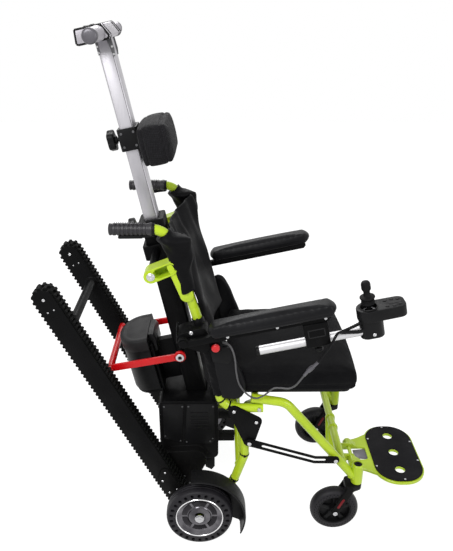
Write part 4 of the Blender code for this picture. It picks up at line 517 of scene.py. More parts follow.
def extruded(bm, faces, height):
    grown = bmesh.ops.extrude_face_region(bm, geom=faces)["geom"]
    lifted = [part for part in grown if isinstance(part, bmesh.types.BMVert)]
    bmesh.ops.translate(bm, verts=lifted, vec=(0.0, 0.0, height))
    return [part for part in grown if isinstance(part, bmesh.types.BMFace)]


def slab(outline, low, high, along="Y", edge=0.001, segments=2):
    # an outline of (x, z) pushed along Y, (x, y) along Z or (y, z) along X, with rounded rims
    bm = bmesh.new()
    face = bm.faces.new([bm.verts.new((u, v, low)) for u, v in outline])
    extruded(bm, [face], high - low)
    if edge:
        rims = [e for e in bm.edges if abs(e.verts[0].co.z - e.verts[1].co.z) < 1e-9]
        bevelled(bm, rims, edge, segments)
    return moved(bm, outlineTurns[along])


def brick(x0, x1, y0, y1, z0, z1, edge=0.0015, segments=2):
    bm = bmesh.new()
    bmesh.ops.create_cube(bm, size=1.0)
    bmesh.ops.scale(bm, vec=(x1 - x0, y1 - y0, z1 - z0), verts=bm.verts[:])
    bmesh.ops.translate(bm, vec=((x0 + x1) / 2, (y0 + y1) / 2, (z0 + z1) / 2), verts=bm.verts[:])
    return bevelled(bm, bm.edges[:], edge, segments)


def roundedBox(x0, x1, y0, y1, radius, steps=12):
    corners = ((x1 - radius, y1 - radius, 0.0), (x0 + radius, y1 - radius, 90.0),
               (x0 + radius, y0 + radius, 180.0), (x1 - radius, y0 + radius, 270.0))
    turns = [math.radians(90.0 * i / steps) for i in range(steps + 1)]
    return [(x + radius * math.cos(math.radians(start) + turn),
             y + radius * math.sin(math.radians(start) + turn))
            for x, y, start in corners for turn in turns]


def pierced(outline, holes, low, high, along="Z", edge=0.001):
    # a plate with openings, its rims chamfered
    bm = bmesh.new()
    for ring in (outline, *holes):
        spots = [bm.verts.new((u, v, low + edge)) for u, v in ring]
        for pair in zip(spots, spots[1:] + spots[:1]):
            bm.edges.new(pair)
    filled = bmesh.ops.triangle_fill(bm, edges=bm.edges[:], use_beauty=True)["geom"]
    faces = [part for part in filled if isinstance(part, bmesh.types.BMFace)]
    extruded(bm, faces, high - low - 2 * edge)
    bmesh.ops.recalc_face_normals(bm, faces=bm.faces[:])
    for sign in (1.0, -1.0):
        flats = [face for face in bm.faces if face.normal.z * sign > 0.9]
        bmesh.ops.inset_region(bm, faces=flats, thickness=edge, depth=edge, use_even_offset=True)
    return moved(bm, outlineTurns[along])


def ringPoints(x, z, radius, steps=40):
    return [(x + radius * math.cos(2 * math.pi * (i + 0.5) / steps),
             z + radius * math.sin(2 * math.pi * (i + 0.5) / steps))
            for i in range(steps)]


def band(circles, steps=40):
    points = sorted({p for x, z, r in circles for p in ringPoints(x, z, r, steps)})

    def turn(a, b, c):
        return (b[0] - a[0]) * (c[1] - a[1]) - (b[1] - a[1]) * (c[0] - a[0])

    def chain(ordered):
        kept = []
        for p in ordered:
            while len(kept) > 1 and turn(kept[-2], kept[-1], p) <= 1e-12:
                kept.pop()
            kept.append(p)
        return kept[:-1]

    return chain(points) + chain(points[::-1])


def cadMesh(node):
    bm = bmesh.new()
    bm.from_mesh(cadNodes[node].data)
    bmesh.ops.remove_doubles(bm, verts=bm.verts[:], dist=1e-5)
    return bm


def softened(node, width=0.0008, segments=2, angle=28.0):
    bm = cadMesh(node)
    bmesh.ops.dissolve_limit(bm, angle_limit=math.radians(1.0), verts=bm.verts[:], edges=bm.edges[:])
    sharp = [e for e in bm.edges if len(e.link_faces) == 2 and e.calc_face_angle(0.0) > math.radians(angle)]
    return bevelled(bm, sharp, width, segments, clamp=False)


def keepSoftened(node, name, finish, body, width=0.0008, segments=2, slot=None):
    return keepPiece(softened(node, width, segments), name, finish, body, [node], slot)


def bolt(place, direction, radius=0.005, height=0.003):
    # a socket-head screw
    profile = [(0.0, height * 0.45), (radius * 0.45, height * 0.45),
               (radius * 0.5, height), (radius * 0.85, height),
               (radius, height * 0.7), (radius, -height * 0.6), (0.0, -height * 0.6)]
    bm = spun(profile, (0.0, 0.0, 0.0), "Z", 18)
    return moved(bm, faced(place, direction))


def sideBolt(x, y, z, side, radius, height):
    return bolt((x, side * y, z), (0.0, side, 0.0), radius, height)


# joystick cable: a mesh tube along the CAD's route, which follows the armrest at its upper end
cableSet = {
    "radius": 0.0026, "connectorRadius": 0.0075, "connectorFrom": 6, "connectorTo": 10,
    "sheath": 0.0037, "relief": 0.0056,
    "lead": ((0.484, -0.28, -0.033), (0.46, -0.284, -0.039), (0.437, -0.287, -0.044)),
    "bendStart": (0.085, -0.25, 0.6), "bendEnd": (0.378, -0.25, 0.6),
    "route": ((0.3818, -0.288, 0.7457), (0.3745, -0.2885, 0.7395),
              (0.3585, -0.29, 0.705), (0.33, -0.285, 0.653),
              (0.306, -0.275, 0.6185), (0.289, -0.264, 0.584),
              (0.2765, -0.255, 0.559), (0.258, -0.249, 0.5445),
              (0.236, -0.246, 0.5443), (0.214, -0.244, 0.541),
              (0.19, -0.238, 0.515), (0.165, -0.235, 0.503),
              (0.14, -0.236, 0.519), (0.118, -0.242, 0.556), (0.109, -0.246, 0.6), (0.1055, -0.248, 0.64),
              (0.098, -0.248, 0.67), (0.087, -0.245, 0.686), (0.0706, -0.242, 0.69)),
}


def smoothRoute(points, parts):
    knots = [Vector(p) for p in points]
    knots = [knots[0] * 2 - knots[1], *knots, knots[-1] * 2 - knots[-2]]
    route = []
    for a, b, c, d in zip(knots, knots[1:], knots[2:], knots[3:]):
        for i in range(parts):
            t = i / parts
            square, cube = 2 * a - 5 * b + 4 * c - d, 3 * b - a - 3 * c + d
            route.append(0.5 * (2 * b + (c - a) * t + square * t * t + cube * t ** 3))
    route.append(knots[-2])
    return route


def makeCable():
    knots = [at(*p) for p in cableSet["route"]]
    path = smoothRoute(knots, 6)
    cable = keepPiece(tube(path, cableSet["radius"], 12), "joystickCable", "cable", None)
    first, last = cableSet["connectorFrom"] * 3, (cableSet["connectorTo"] - 1) * 3
    span = path[first:last + 1]
    wide = cableSet["connectorRadius"]
    body = tube(span[3:-3], wide * 0.86, 16)
    collars = [tube(span[:4], wide * 0.58, 16), tube(span[-4:], wide * 0.58, 16),
               tube(span[4:6], wide * 0.94, 16)]
    connector = keepPiece(joined(body, *collars), "cableConnector", "gripGrey", None)
    sheath = keepPiece(tube(path[:first + 3], cableSet["sheath"], 14), "cableSheath", "rubber", None)
    lead = smoothRoute([*[armAxes @ Vector(p) for p in cableSet["lead"]], path[0]], 8)
    parts = [tube(lead, cableSet["sheath"], 14)]
    parts += [tube(lead[i:i + 2], cableSet["relief"] - 0.00008 * i, 16) for i in range(0, len(lead) - 1, 2)]
    keepPiece(joined(*parts), "cableRelief", "rubber", "armrest_right")
    for piece in (cable, connector, sheath):
        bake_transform(piece)
    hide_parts("joystick_cable")
    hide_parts("cable_connector")


makeCable()


def weld(place, direction, radius, bead=0.0024):
    # a rippled bead round a tube's end
    ring = [(radius + bead * math.cos(a), bead * math.sin(a))
            for a in (2 * math.pi * i / 8 for i in range(8))]
    bm = spun(ring, (0.0, 0.0, 0.0), "Z", 44, closed=True)
    for v in bm.verts:
        v.co.xy *= 1.0 + 0.02 * math.sin(22 * math.atan2(v.co.y, v.co.x))
    return moved(bm, faced(place, direction))


def wrap(place, direction, radius, width=0.0045, thick=0.0012):
    # a cable tie or a clip round a tube
    ring = [(radius, -width / 2), (radius + thick, -width / 2),
            (radius + thick, width / 2), (radius, width / 2)]
    bm = spun(ring, (0.0, 0.0, 0.0), "Z", 28, closed=True)
    head = brick(radius - 0.0005, radius + 0.004, -0.003, 0.003, -width * 0.7, width * 0.7, 0.0006)
    return moved(joined(bm, head), faced(place, direction))


# lime frame of bent tubes
frameSet = {
    "tube": 0.0135, "bend": 0.055, "y": 0.212, "cross": 0.0122, "rail": (0.155, 0.489),
    "legBend": (0.2576, 0.4717),
    "legSlope": 1.24349, "crossX": 0.44, "headX": 0.488, "headR": 0.0175,
    "headLow": 0.177, "headTop": 0.246,
    "stemBore": 0.0088, "boreTop": 0.2335, "strutX": 0.412, "strutBoss": 0.008, "strutOut": 0.2309,
    "footHinge": (0.512, 0.122), "footDropX": 0.446, "footArmY": 0.028,
    "footArmHalf": 0.004, "footPin": 0.006,
    "footReach": 0.058, "rearLeg": ((0.135, 0.43), (0.138, 0.285), (0.105, 0.185), (0.012, 0.1113)),
    "rearCross": (0.1232, 0.24), "axleZ": 0.1018, "axleBoss": 0.021, "axleIn": 0.1995, "axleOut": 0.232,
    "axle": 0.008, "nutR": 0.014, "nutIn": 0.2857, "nutT": 0.007,
    "lowerBack": ((0.0239, 0.69), (0.0713, 0.4545), (0.19, 0.4545)),
    "seatCross": (0.105, 0.17), "seatCrossR": 0.011,
}


def legZ(x):
    return frameSet["legBend"][1] - frameSet["legSlope"] * (x - frameSet["legBend"][0])


def crossTube(x, z, radius):
    reach = frameSet["y"]
    ends = [weld((x, side * (reach - frameSet["tube"]), z), (0.0, 1.0, 0.0), radius) for _, side in sides]
    return joined(tube([(x, -reach, z), (x, reach, z)], radius, 24), *ends)


def makeFrontFrame():
    f = frameSet
    endX, low, top, wide, bore = f["headX"] - 0.008, f["headLow"], f["headTop"], f["headR"], f["stemBore"]
    parts = [crossTube(f["crossX"], legZ(f["crossX"]), f["cross"])]
    slope = Vector((1.0, 0.0, -f["legSlope"]))
    for _, side in sides:
        y = side * f["y"]
        route = [(f["rail"][0], y, f["rail"][1]), (f["legBend"][0], y, f["legBend"][1]),
                 (endX, y, legZ(endX))]
        parts.append(tube(bentRoute(route, f["bend"]), f["tube"]))
        head = [(0.0, f["boreTop"]), (bore, f["boreTop"]), (bore, low),
                (wide - 0.001, low), (wide, low + 0.001),
                (wide, top - 0.004), (wide - 0.003, top), (0.0132, top),
                (0.0128, top - 0.005), (0.0, top - 0.005)]
        parts.append(spun(head, (f["headX"], y, 0.0), "Z", 36))
        joint = f["headX"] - wide * 0.93
        parts.append(weld((joint, y, legZ(joint)), slope, f["tube"] - 0.0006, 0.0028))
        stub = between(side, f["y"], f["strutOut"])
        parts.append(rod(f["strutBoss"], *stub, (f["strutX"], 0.0, legZ(f["strutX"])), 24))
        arm = side * f["footArmY"]
        elbow = (f["footDropX"], f["footHinge"][1], 0.013)
        for circles in (((f["crossX"], legZ(f["crossX"]), 0.016), elbow),
                        (elbow, (*f["footHinge"], 0.012))):
            parts.append(slab(band(circles), arm - f["footArmHalf"], arm + f["footArmHalf"], edge=0.0008))
    x, z = f["footHinge"]
    parts.append(tube([(x, -f["footReach"], z), (x, f["footReach"], z)], f["footPin"], 20))
    keepParts(parts, toPart, "frontFrame", "lime", "chair", ["front_frame"])
    cap = [(0.0, 0.0), (0.0124, 0.0), (0.0124, 0.0025), (0.0108, 0.0036), (0.006, 0.004),
           (0.0055, 0.0012), (0.0, 0.0012)]
    caps = [spun(cap, (f["headX"], side * f["y"], top - 0.0048), "Z", 20) for _, side in sides]
    keepParts(caps, toPart, "headCaps", "blackPlastic", "chair")


def makeRearFrame():
    f = frameSet
    parts = [crossTube(*f["rearCross"], f["cross"])]
    nuts, ties, flange = [], [], 0.0015
    for _, side in sides:
        y, axle = side * f["y"], (0.0, 0.0, f["axleZ"])
        route = bentRoute([(x, y, z) for x, z in f["rearLeg"]], f["bend"])
        parts.append(tube(route, f["tube"]))
        ties += [wrap(route[k], route[k + 1] - route[k], f["tube"]) for k in (4, 14)]
        low, high = side * f["axleIn"], side * f["axleOut"]
        boss = [(0.0, low), (f["axleBoss"] - 0.001, low), (f["axleBoss"], low + side * 0.001),
                (f["axleBoss"], high - side * 0.001), (f["axleBoss"] - 0.001, high), (0.0, high)]
        parts.append(spun(boss, axle, "Y", 36))
        nut = side * f["nutIn"]
        parts.append(rod(f["axle"], low, nut, axle))
        outer = nut + side * f["nutT"]
        hexagon = ringPoints(0.0, f["axleZ"], f["nutR"] - 0.001, 6)
        nuts.append(slab(hexagon, *sorted((nut, outer - side * flange)), edge=0.0008))
        nuts.append(rod(f["nutR"], nut, nut + side * flange, axle, 30))
        start = outer - side * 0.002
        nuts.append(spun([(0.0, start), (0.0055, start), (0.005, outer), (0.0, outer)], axle, "Y", 16))
    keepParts(parts, toPart, "rearFrame", "lime", "chair", ["rear_frame"])
    keepParts(nuts, toPart, "axleNuts", "steel", "chair")
    keepParts(ties, toPart, "legTies", "blackPlastic", "chair")


def makeSeatFrame():
    f = frameSet
    parts = [crossTube(x, f["lowerBack"][1][1], f["seatCrossR"]) for x in f["seatCross"]]
    ties, clips, screws = [], [], []
    for _, side in sides:
        y = side * f["y"]
        route = bentRoute([(x, y, z) for x, z in f["lowerBack"]], f["bend"])
        parts.append(tube(route, f["tube"]))
        for a, b in ((3, 4), (7, 8)):
            ties.append(wrap(route[a], route[b] - route[a], f["tube"]))
        railX, railZ = f["lowerBack"][2][0] - 0.03, f["lowerBack"][2][1]
        clips.append(slab(band([(railX - 0.012, railZ, 0.0155), (railX + 0.018, railZ + 0.014, 0.015)]),
                          *between(side, 0.1955, 0.1985), edge=0.0006))
        screws.append(sideBolt(railX + 0.018, 0.225, railZ + 0.002, side, 0.006, 0.004))
    keepParts(parts, toPart, "seatFrame", "lime", "chair", ["seat_frame"])
    keepParts(ties, toPart, "seatTies", "blackPlastic", "chair")
    keepPiece(moved(joined(*clips, *screws), toPart), "railBrackets", "steel", "chair")


makeFrontFrame()
makeRearFrame()
makeSeatFrame()

# upper back tubes with push grips
backSet = {
    "foot": (0.001, 0.756), "lean": 16.07, "endZ": 0.714, "gripZ": 1.01,
    "gripRear": -0.2235, "gripLength": 0.1125,
    "gripR": 0.0165, "gripWall": 0.003, "ribRows": 15, "ribPitch": 0.0055, "ribHalf": 0.0075,
    "lever": ((-0.196, 0.9895, 0.0045), (-0.14, 0.9905, 0.005)), "leverHalf": 0.006,
    "stalk": ((-0.1085, 0.9935, 0.0038), (-0.14, 0.9905, 0.0045)), "stalkHalf": 0.004,
}


def backX(z):
    return backSet["foot"][0] - (z - backSet["foot"][1]) * math.tan(math.radians(backSet["lean"]))


def backRoute(y):
    b = backSet
    return bentRoute([(backX(b["endZ"]), y, b["endZ"]), (backX(b["gripZ"]), y, b["gripZ"]),
                      (b["gripRear"] + b["gripWall"], y, b["gripZ"])], frameSet["bend"], 14)


def makeBackTube(label, side):
    b, y = backSet, side * frameSet["y"]
    keepPiece(moved(tube(backRoute(y), frameSet["tube"]), toPart), "backTube_" + label, "lime", "chair",
              ["back_tube_" + label], slot="lime_alloy")
    start, stop, wide = b["gripRear"], b["gripRear"] + b["gripLength"], b["gripR"]
    profile = [(0.0, start), (wide - 0.005, start), (wide - 0.002, start + 0.001),
               (wide - 0.0003, start + 0.003)]
    for k in range(8):
        low = start + 0.01 + k * 0.0112
        profile += [(wide - 0.0018, low), (wide - 0.0002, low + 0.0016), (wide - 0.0002, low + 0.0074),
                    (wide - 0.0018, low + 0.009)]
    profile += [(wide, stop - 0.007), (wide + 0.0008, stop - 0.005),
                (wide + 0.0008, stop - 0.001), (wide - 0.0002, stop),
                (frameSet["tube"] + 0.0003, stop)]
    parts = [spun(profile, (0.0, y, b["gripZ"]), "X", 40)]
    for k in range(b["ribRows"]):
        x = start + 0.014 + k * b["ribPitch"]
        parts.append(brick(x, x + 0.0024, y - b["ribHalf"], y + b["ribHalf"], b["gripZ"] + 0.0128,
                           b["gripZ"] + 0.0166, 0.0006, 1))
    keepParts(parts, toPart, "pushGrip_" + label, "gripRubber", "chair", ["push_grip_" + label])
    lever = [slab(band(b["lever"]), y - b["leverHalf"], y + b["leverHalf"], edge=0.0015)]
    lever.append(wrap((-0.1085, y, b["gripZ"]), (1.0, 0.0, 0.0), frameSet["tube"], 0.009, 0.0022))
    lever.append(slab(band(b["stalk"]), y - b["stalkHalf"], y + b["stalkHalf"], edge=0.001))
    keepParts(lever, toPart, "gripLever_" + label, "blackPlastic", "chair")


for label, side in sides:
    makeBackTube(label, side)
print("tube frame made")

# rear wheels
wheelSet = {"radius": 0.1018, "half": 0.025, "y": 0.26, "rim": 0.0735, "bore": 0.0087, "pockets": 26,
            "pocketRing": (0.08, 0.0865, 0.093), "pocketDepth": 0.009}


def makeRearTyre(label, side):
    w = wheelSet
    half, r, ring = w["half"], w["radius"], w["pocketRing"]
    flank = [(w["rim"], half - 0.002), (w["rim"] + 0.002, half), (ring[0], half),
             (ring[1], half), (ring[2], half),
             (0.0962, half - 0.0012), (0.099, half - 0.0045), (0.101, half - 0.0105), (r, half - 0.017),
             (r, 0.0065), (r - 0.0013, 0.0055), (r - 0.0013, 0.003), (r, 0.002)]
    profile = flank + flipped(flank)
    steps = w["pockets"] * 4
    bm = spun(profile, (0.0, 0.0, 0.0), "Z", steps, closed=True)
    bmesh.ops.recalc_face_normals(bm, faces=bm.faces[:])
    groups = {}
    for face in bm.faces:
        middle = face.calc_center_median()
        reach = math.hypot(middle.x, middle.y)
        column = int((math.atan2(middle.y, middle.x) % (2 * math.pi)) / (2 * math.pi) * steps)
        if abs(face.normal.z) > 0.9 and ring[0] < reach < ring[2] and column % 4 in (1, 2):
            groups.setdefault((column // 4, middle.z > 0), []).append(face)
    for faces in groups.values():
        middle = sum((face.calc_center_median() for face in faces), Vector()) / len(faces)
        spots = [v for face in faces for v in face.verts]
        for v in set(spots):
            if spots.count(v) == 1:
                v.co = middle + (v.co - middle) * 0.74
    pockets = [face for faces in groups.values() for face in faces]
    bmesh.ops.inset_region(bm, faces=pockets, thickness=0.0007,
                           depth=-w["pocketDepth"], use_even_offset=True)
    moved(bm, Matrix.Translation(at(0.0, side * w["y"], frameSet["axleZ"])) @ axisTurns["Y"])
    keepPiece(bm, "rearTyre_" + label, "tyreRubber", "rear_wheel_" + label, ["rear_tyre_" + label])


def makeRearHub(label, side):
    w = wheelSet
    rim, bore, out = w["rim"] - 0.0004, w["bore"], w["half"] - 0.0005
    place, body = (0.0, side * w["y"], frameSet["axleZ"]), "rear_wheel_" + label
    profile = [(bore, -out), (rim, 0.004 - out), (rim, out - 0.004), (rim - 0.004, out - 0.003),
               (rim - 0.0062, out - 0.0045),
               (0.056, out - 0.0105), (0.0535, out - 0.0112), (0.0375, out - 0.0112), (0.0355, out - 0.01),
               (0.0335, out - 0.0062), (0.031, out - 0.005), (0.0185, out - 0.004),
               (0.0175, out - 0.0052), (bore, out - 0.0052)]
    dish = spun(outward(side, profile), place, "Y", 72, closed=True)
    keepPiece(moved(dish, toPart), "rearHub_" + label, "hubDish", body, ["rear_hub_" + label])
    ring = [(rim, out - 0.005), (rim, out - 0.001), (rim - 0.001, out), (rim - 0.0028, out),
            (rim - 0.004, out - 0.0012),
            (rim - 0.004, out - 0.005)]
    hoop = spun(outward(side, ring), place, "Y", 72, closed=True)
    keepPiece(moved(hoop, toPart), "hubRim_" + label, "polished", body)
    panels = []
    for k in range(6):
        middle = math.pi / 6 + k * math.pi / 3
        fan = [(0.0385, 24.0), (0.0385, 12.0), (0.0385, 0.0), (0.0385, -12.0), (0.0385, -24.0),
               (0.054, -26.0), (0.0548, -13.0),
               (0.055, 0.0), (0.0548, 13.0), (0.054, 26.0)]
        turns = [(reach, middle + math.radians(turn)) for reach, turn in fan]
        outline = [(reach * math.cos(turn), frameSet["axleZ"] + reach * math.sin(turn))
                   for reach, turn in turns]
        panels.append(slab(outline, *between(side, w["y"] + out - 0.013, w["y"] + out - 0.0098),
                           edge=0.0008))
    keepParts(panels, toPart, "hubPanels_" + label, "hubPanel", body)


# mudguards
guardSet = {"radius": 0.142, "skirt": 0.088, "inner": 0.2285, "outer": 0.289, "wall": 0.003, "thick": 0.004,
            "from": -25.0, "to": 100.0, "boss": (0.075, 0.1613)}


def makeGuard(label, side):
    g = guardSet
    r, inner, outer = g["radius"], g["inner"], g["outer"]
    shape = [(g["skirt"], inner), (r - 0.006, inner), (r - 0.002, inner + 0.001),
             (r - 0.0004, inner + 0.004),
             (r, inner + 0.01), (r, outer - 0.006), (r - 0.001, outer - 0.002), (r - 0.004, outer),
             (r - 0.006, outer - 0.001),
             (r - g["thick"] - 0.001, outer - 0.004), (r - g["thick"], outer - 0.008),
             (r - g["thick"], inner + 0.01),
             (r - g["thick"] - 0.002, inner + 0.005), (r - 0.008, inner + g["wall"]),
             (g["skirt"], inner + g["wall"])]
    turn = math.radians(g["from"] - g["to"])
    bm = spun(outward(side, shape), (0.0, 0.0, 0.0), "Z", 40, closed=True, sweep=turn)
    ends = [edge for edge in bm.edges if edge.is_boundary]
    bmesh.ops.holes_fill(bm, edges=ends, sides=0)
    start = Matrix.Rotation(math.radians(-g["from"]), 4, "Z")
    moved(bm, Matrix.Translation((0.0, 0.0, frameSet["axleZ"])) @ axisTurns["Y"] @ start)
    x, z = g["boss"]
    stud = rod(0.006, *between(side, 0.2259, inner + 0.001), (x, 0.0, z), 18)
    keepPiece(moved(joined(bm, stud), toPart), "mudguard_" + label, "blackPlastic",
              "chair", ["mudguard_" + label])


# castors
castorSet = {"radius": 0.076, "half": 0.02, "x": 0.424, "y": 0.212, "bore": 0.0057, "spokes": 5, "dots": 36,
             "pit": ((0.0, 0.0006), (0.0015, 0.0006), (0.0019, -0.0004))}


def makeCastor(label, side):
    c = castorSet
    r, half = c["radius"], c["half"]
    place = (c["x"], side * c["y"], r)
    flank = [(0.0525, half - 0.003), (0.0545, half - 0.0004), (0.06, half),
             (0.0655, half - 0.0007), (0.0695, half - 0.003),
             (0.0728, half - 0.007), (0.075, half - 0.012), (0.0758, half - 0.016), (r, half - 0.0195)]
    profile = flank + flipped(flank)
    body = "castor_wheel_" + label
    keepPiece(moved(spun(profile, place, "Y", 64, closed=True), toPart), "castorTyre_" + label,
              "tyreRubber", body, [body])
    # darker rubber discs, barely proud of the sidewall, stand for the dimples of the dot pattern: their
    # dark colour is painted shade in the dimples
    pitShades = []
    for k in range(c["dots"]):
        for reach, shift in ((0.058, 0.0), (0.064, 0.5)):
            angle = 2 * math.pi * (k + shift) / c["dots"]
            for face in (-1.0, 1.0):
                spot = Vector(place) + Vector((reach * math.cos(angle), face * (half - 0.0004),
                                               reach * math.sin(angle)))
                pitShades.append(spun(outward(face, c["pit"]), spot, "Y", 8))
    keepParts(pitShades, toPart, "castorPitShades_" + label, "trackRubber", body)
    rim = [(0.0485, -0.0165), (0.0515, -0.0178), (0.053, -0.0165), (0.053, 0.0165),
           (0.0515, 0.0178), (0.0485, 0.0165)]
    boss = [(c["bore"], -0.0218), (0.0125, -0.0218), (0.014, -0.0205), (0.0165, -0.01),
            (0.0165, 0.01), (0.014, 0.0205),
            (0.0125, 0.0218), (c["bore"], 0.0218)]
    hub = [spun(rim, place, "Y", 60, closed=True), spun(boss, place, "Y", 30, closed=True)]
    for k in range(c["spokes"]):
        outline = [(0.014, -0.0085), (0.03, -0.0058), (0.05, -0.008), (0.05, 0.008),
                   (0.03, 0.0058), (0.014, 0.0085)]
        spoke = slab(outline, -0.0105, 0.0105, edge=0.002)
        turn = Matrix.Rotation(2 * math.pi * (k + 0.75) / c["spokes"], 4, "Y")
        hub.append(moved(spoke, Matrix.Translation(place) @ turn))
    web = [(0.015, -0.0025), (0.049, -0.0025), (0.049, 0.0025), (0.015, 0.0025)]
    hub.append(spun(web, place, "Y", 48, closed=True))
    keepParts(hub, toPart, "castorHub_" + label, "blackPlastic", body)
    fork = "castor_fork_" + label
    keepSoftened(fork, "castorFork_" + label, "blackMetal", fork, 0.0012)
    heads, accents = [], []
    stem = frameSet["headX"]
    for face in (-1.0, 1.0):
        y = side * c["y"] + face * 0.0315
        heads.append(bolt((c["x"], y - face * 0.001, r), (0.0, face, 0.0), 0.0072, 0.003))
        strip = band([(stem - 0.041, 0.126, 0.004), (stem - 0.055, 0.097, 0.004)])
        ends = sorted((side * c["y"] + face * 0.0272, side * c["y"] + face * 0.0282))
        accents.append(slab(strip, *ends, edge=0.0003))
    keepParts(heads, toPart, "castorBolts_" + label, "steel", fork)
    keepParts(accents, toPart, "forkAccents_" + label, "accentRed", fork)


for label, side in sides:
    makeRearTyre(label, side)
    makeRearHub(label, side)
    makeGuard(label, side)
    makeCastor(label, side)
print("wheels made")

# toothed tracks
trackSet = {"length": 0.7801, "y": 0.171, "half": 0.0245, "plate": 0.0035, "plateR": 0.029,
            "beltIn": 0.025, "beltOut": 0.03,
            "tip": 0.0357, "lugs": 124, "lug": (0.42, 0.17), "gap": 0.0042, "tie": (0.012, 0.667),
            "tieR": 0.0135, "pulley": 0.0221, "shaft": 0.01,
            "screws": ((0.0, 0.7801, 0.0044), (0.01, 0.742, 0.0024), (-0.01, 0.742, 0.0024)),
            "bracket": ((-0.01, 0.085, 0.016), (0.012, 0.11, 0.014),
                        (0.014, 0.035, 0.012), (-0.012, 0.035, 0.012))}


def loopPoint(distance, radius):
    # a place on the belt's loop, by its distance along the inner face
    inner, length = trackSet["beltIn"], trackSet["length"]
    arc = math.pi * inner
    distance %= 2 * (arc + length)
    if distance < length:
        return (radius, distance)
    if distance < length + arc:
        angle = (distance - length) / inner
        return (radius * math.cos(angle), length + radius * math.sin(angle))
    if distance < 2 * length + arc:
        return (-radius, 2 * length + arc - distance)
    angle = math.pi + (distance - 2 * length - arc) / inner
    return (radius * math.cos(angle), radius * math.sin(angle))


def makeBelt(label, side):
    t = trackSet
    low, high = between(side, t["y"] - t["half"] + t["gap"], t["y"] + t["half"] - t["gap"])
    total = 2 * (math.pi * t["beltIn"] + t["length"])
    pitch = total / t["lugs"]
    loops = [[loopPoint(k * pitch / 2, radius) for k in range(t["lugs"] * 2)]
             for radius in (t["beltOut"], t["beltIn"])]
    parts = [pierced(loops[0], [loops[1]], low, high, along="Y", edge=0.0)]
    middle = (low + high) / 2
    rows = ((low + 0.0006, middle - 0.0009, 0.0), (middle + 0.0009, high - 0.0006, 0.5))
    foot, crest = t["lug"]
    root, tip = t["beltOut"] - 0.0006, t["tip"]
    corners = ((-foot, root), (foot, root), (crest, tip), (-crest, tip))
    for k in range(t["lugs"]):
        for first, last, shift in rows:
            spots = [loopPoint((k + shift + share) * pitch, radius) for share, radius in corners]
            parts.append(slab(spots, first, last, edge=0.0005, segments=1))
    keepParts(parts, trackAxes, "trackBelt_" + label, "trackRubber", "tracks", ["track_belt_" + label])


def makeTrackFrame(label, side):
    t = trackSet
    inner, outer, plate, length = t["y"] - t["half"], t["y"] + t["half"], t["plate"], t["length"]
    outline = band([(0.0, 0.0, t["plateR"]), (0.0, length, t["plateR"])], 64)
    parts = [slab(outline, *between(side, a, a + plate), edge=0.0008) for a in (inner, outer - plate)]
    low, high = between(side, inner + 0.001, outer - 0.001)
    parts.append(brick(-0.023, 0.023, low, high, 0.037, length - 0.037, 0.003))
    parts.append(slab(band(t["bracket"]), *between(side, outer - 0.001, outer + 0.004), edge=0.0008))
    parts.append(rod(0.006, side * inner, side * outer, (0.0, 0.0, length), 16))
    keepParts(parts, trackAxes, "trackFrame_" + label, "blackMetal", "tracks", ["track_frame_" + label])
    screws = [sideBolt(x, outer + 0.0042, z, side, 0.0034, 0.0018) for x, z, _ in t["bracket"]]
    for x, z, wide in t["screws"]:
        screws.append(sideBolt(x, outer + 0.0002, z, side, wide, 0.0014))
        screws.append(bolt((x, side * (inner - 0.0002), z), (0.0, -side, 0.0), wide, 0.0014))
    keepParts(screws, trackAxes, "trackScrews_" + label, "steel", "tracks")
    keepSoftened("idler_wheel_" + label, "idlerWheel_" + label, "greyPlastic", "idler_" + label)


def makeTrackRods():
    t = trackSet
    end = t["y"] - t["half"] - 0.0004
    x, z = t["tie"]
    half = [(t["tieR"], end - 0.012), (t["tieR"] + 0.0012, end - 0.011),
            (t["tieR"] + 0.0012, end - 0.0055), (0.0175, end - 0.004),
            (0.019, end - 0.003), (0.019, end), (0.0, end)]
    profile = flipped(half) + half
    keepPiece(moved(spun(profile, (x, 0.0, z), "Y", 32), trackAxes), "trackCrossTube", "blackMetal",
              "tracks", ["track_cross_tube"])
    inner, outer = end + 0.0046, t["y"] + t["half"] - t["gap"]
    tip = t["y"] + t["half"] + 0.008
    half = [(t["shaft"], inner), (t["pulley"] - 0.001, inner), (t["pulley"], inner + 0.001),
            (t["pulley"], outer - 0.001),
            (t["pulley"] - 0.001, outer), (t["shaft"], outer), (t["shaft"], tip - 0.0015),
            (t["shaft"] - 0.0015, tip), (0.004, tip),
            (0.0035, tip - 0.003), (0.0, tip - 0.003)]
    profile = flipped(half) + half
    keepPiece(moved(spun(profile, (0.0, 0.0, 0.0), "Y", 36), trackAxes), "driveShaft", "steel",
              "drive_shaft", ["drive_shaft"])


for label, side in sides:
    makeBelt(label, side)
    makeTrackFrame(label, side)
makeTrackRods()
print("tracks made")

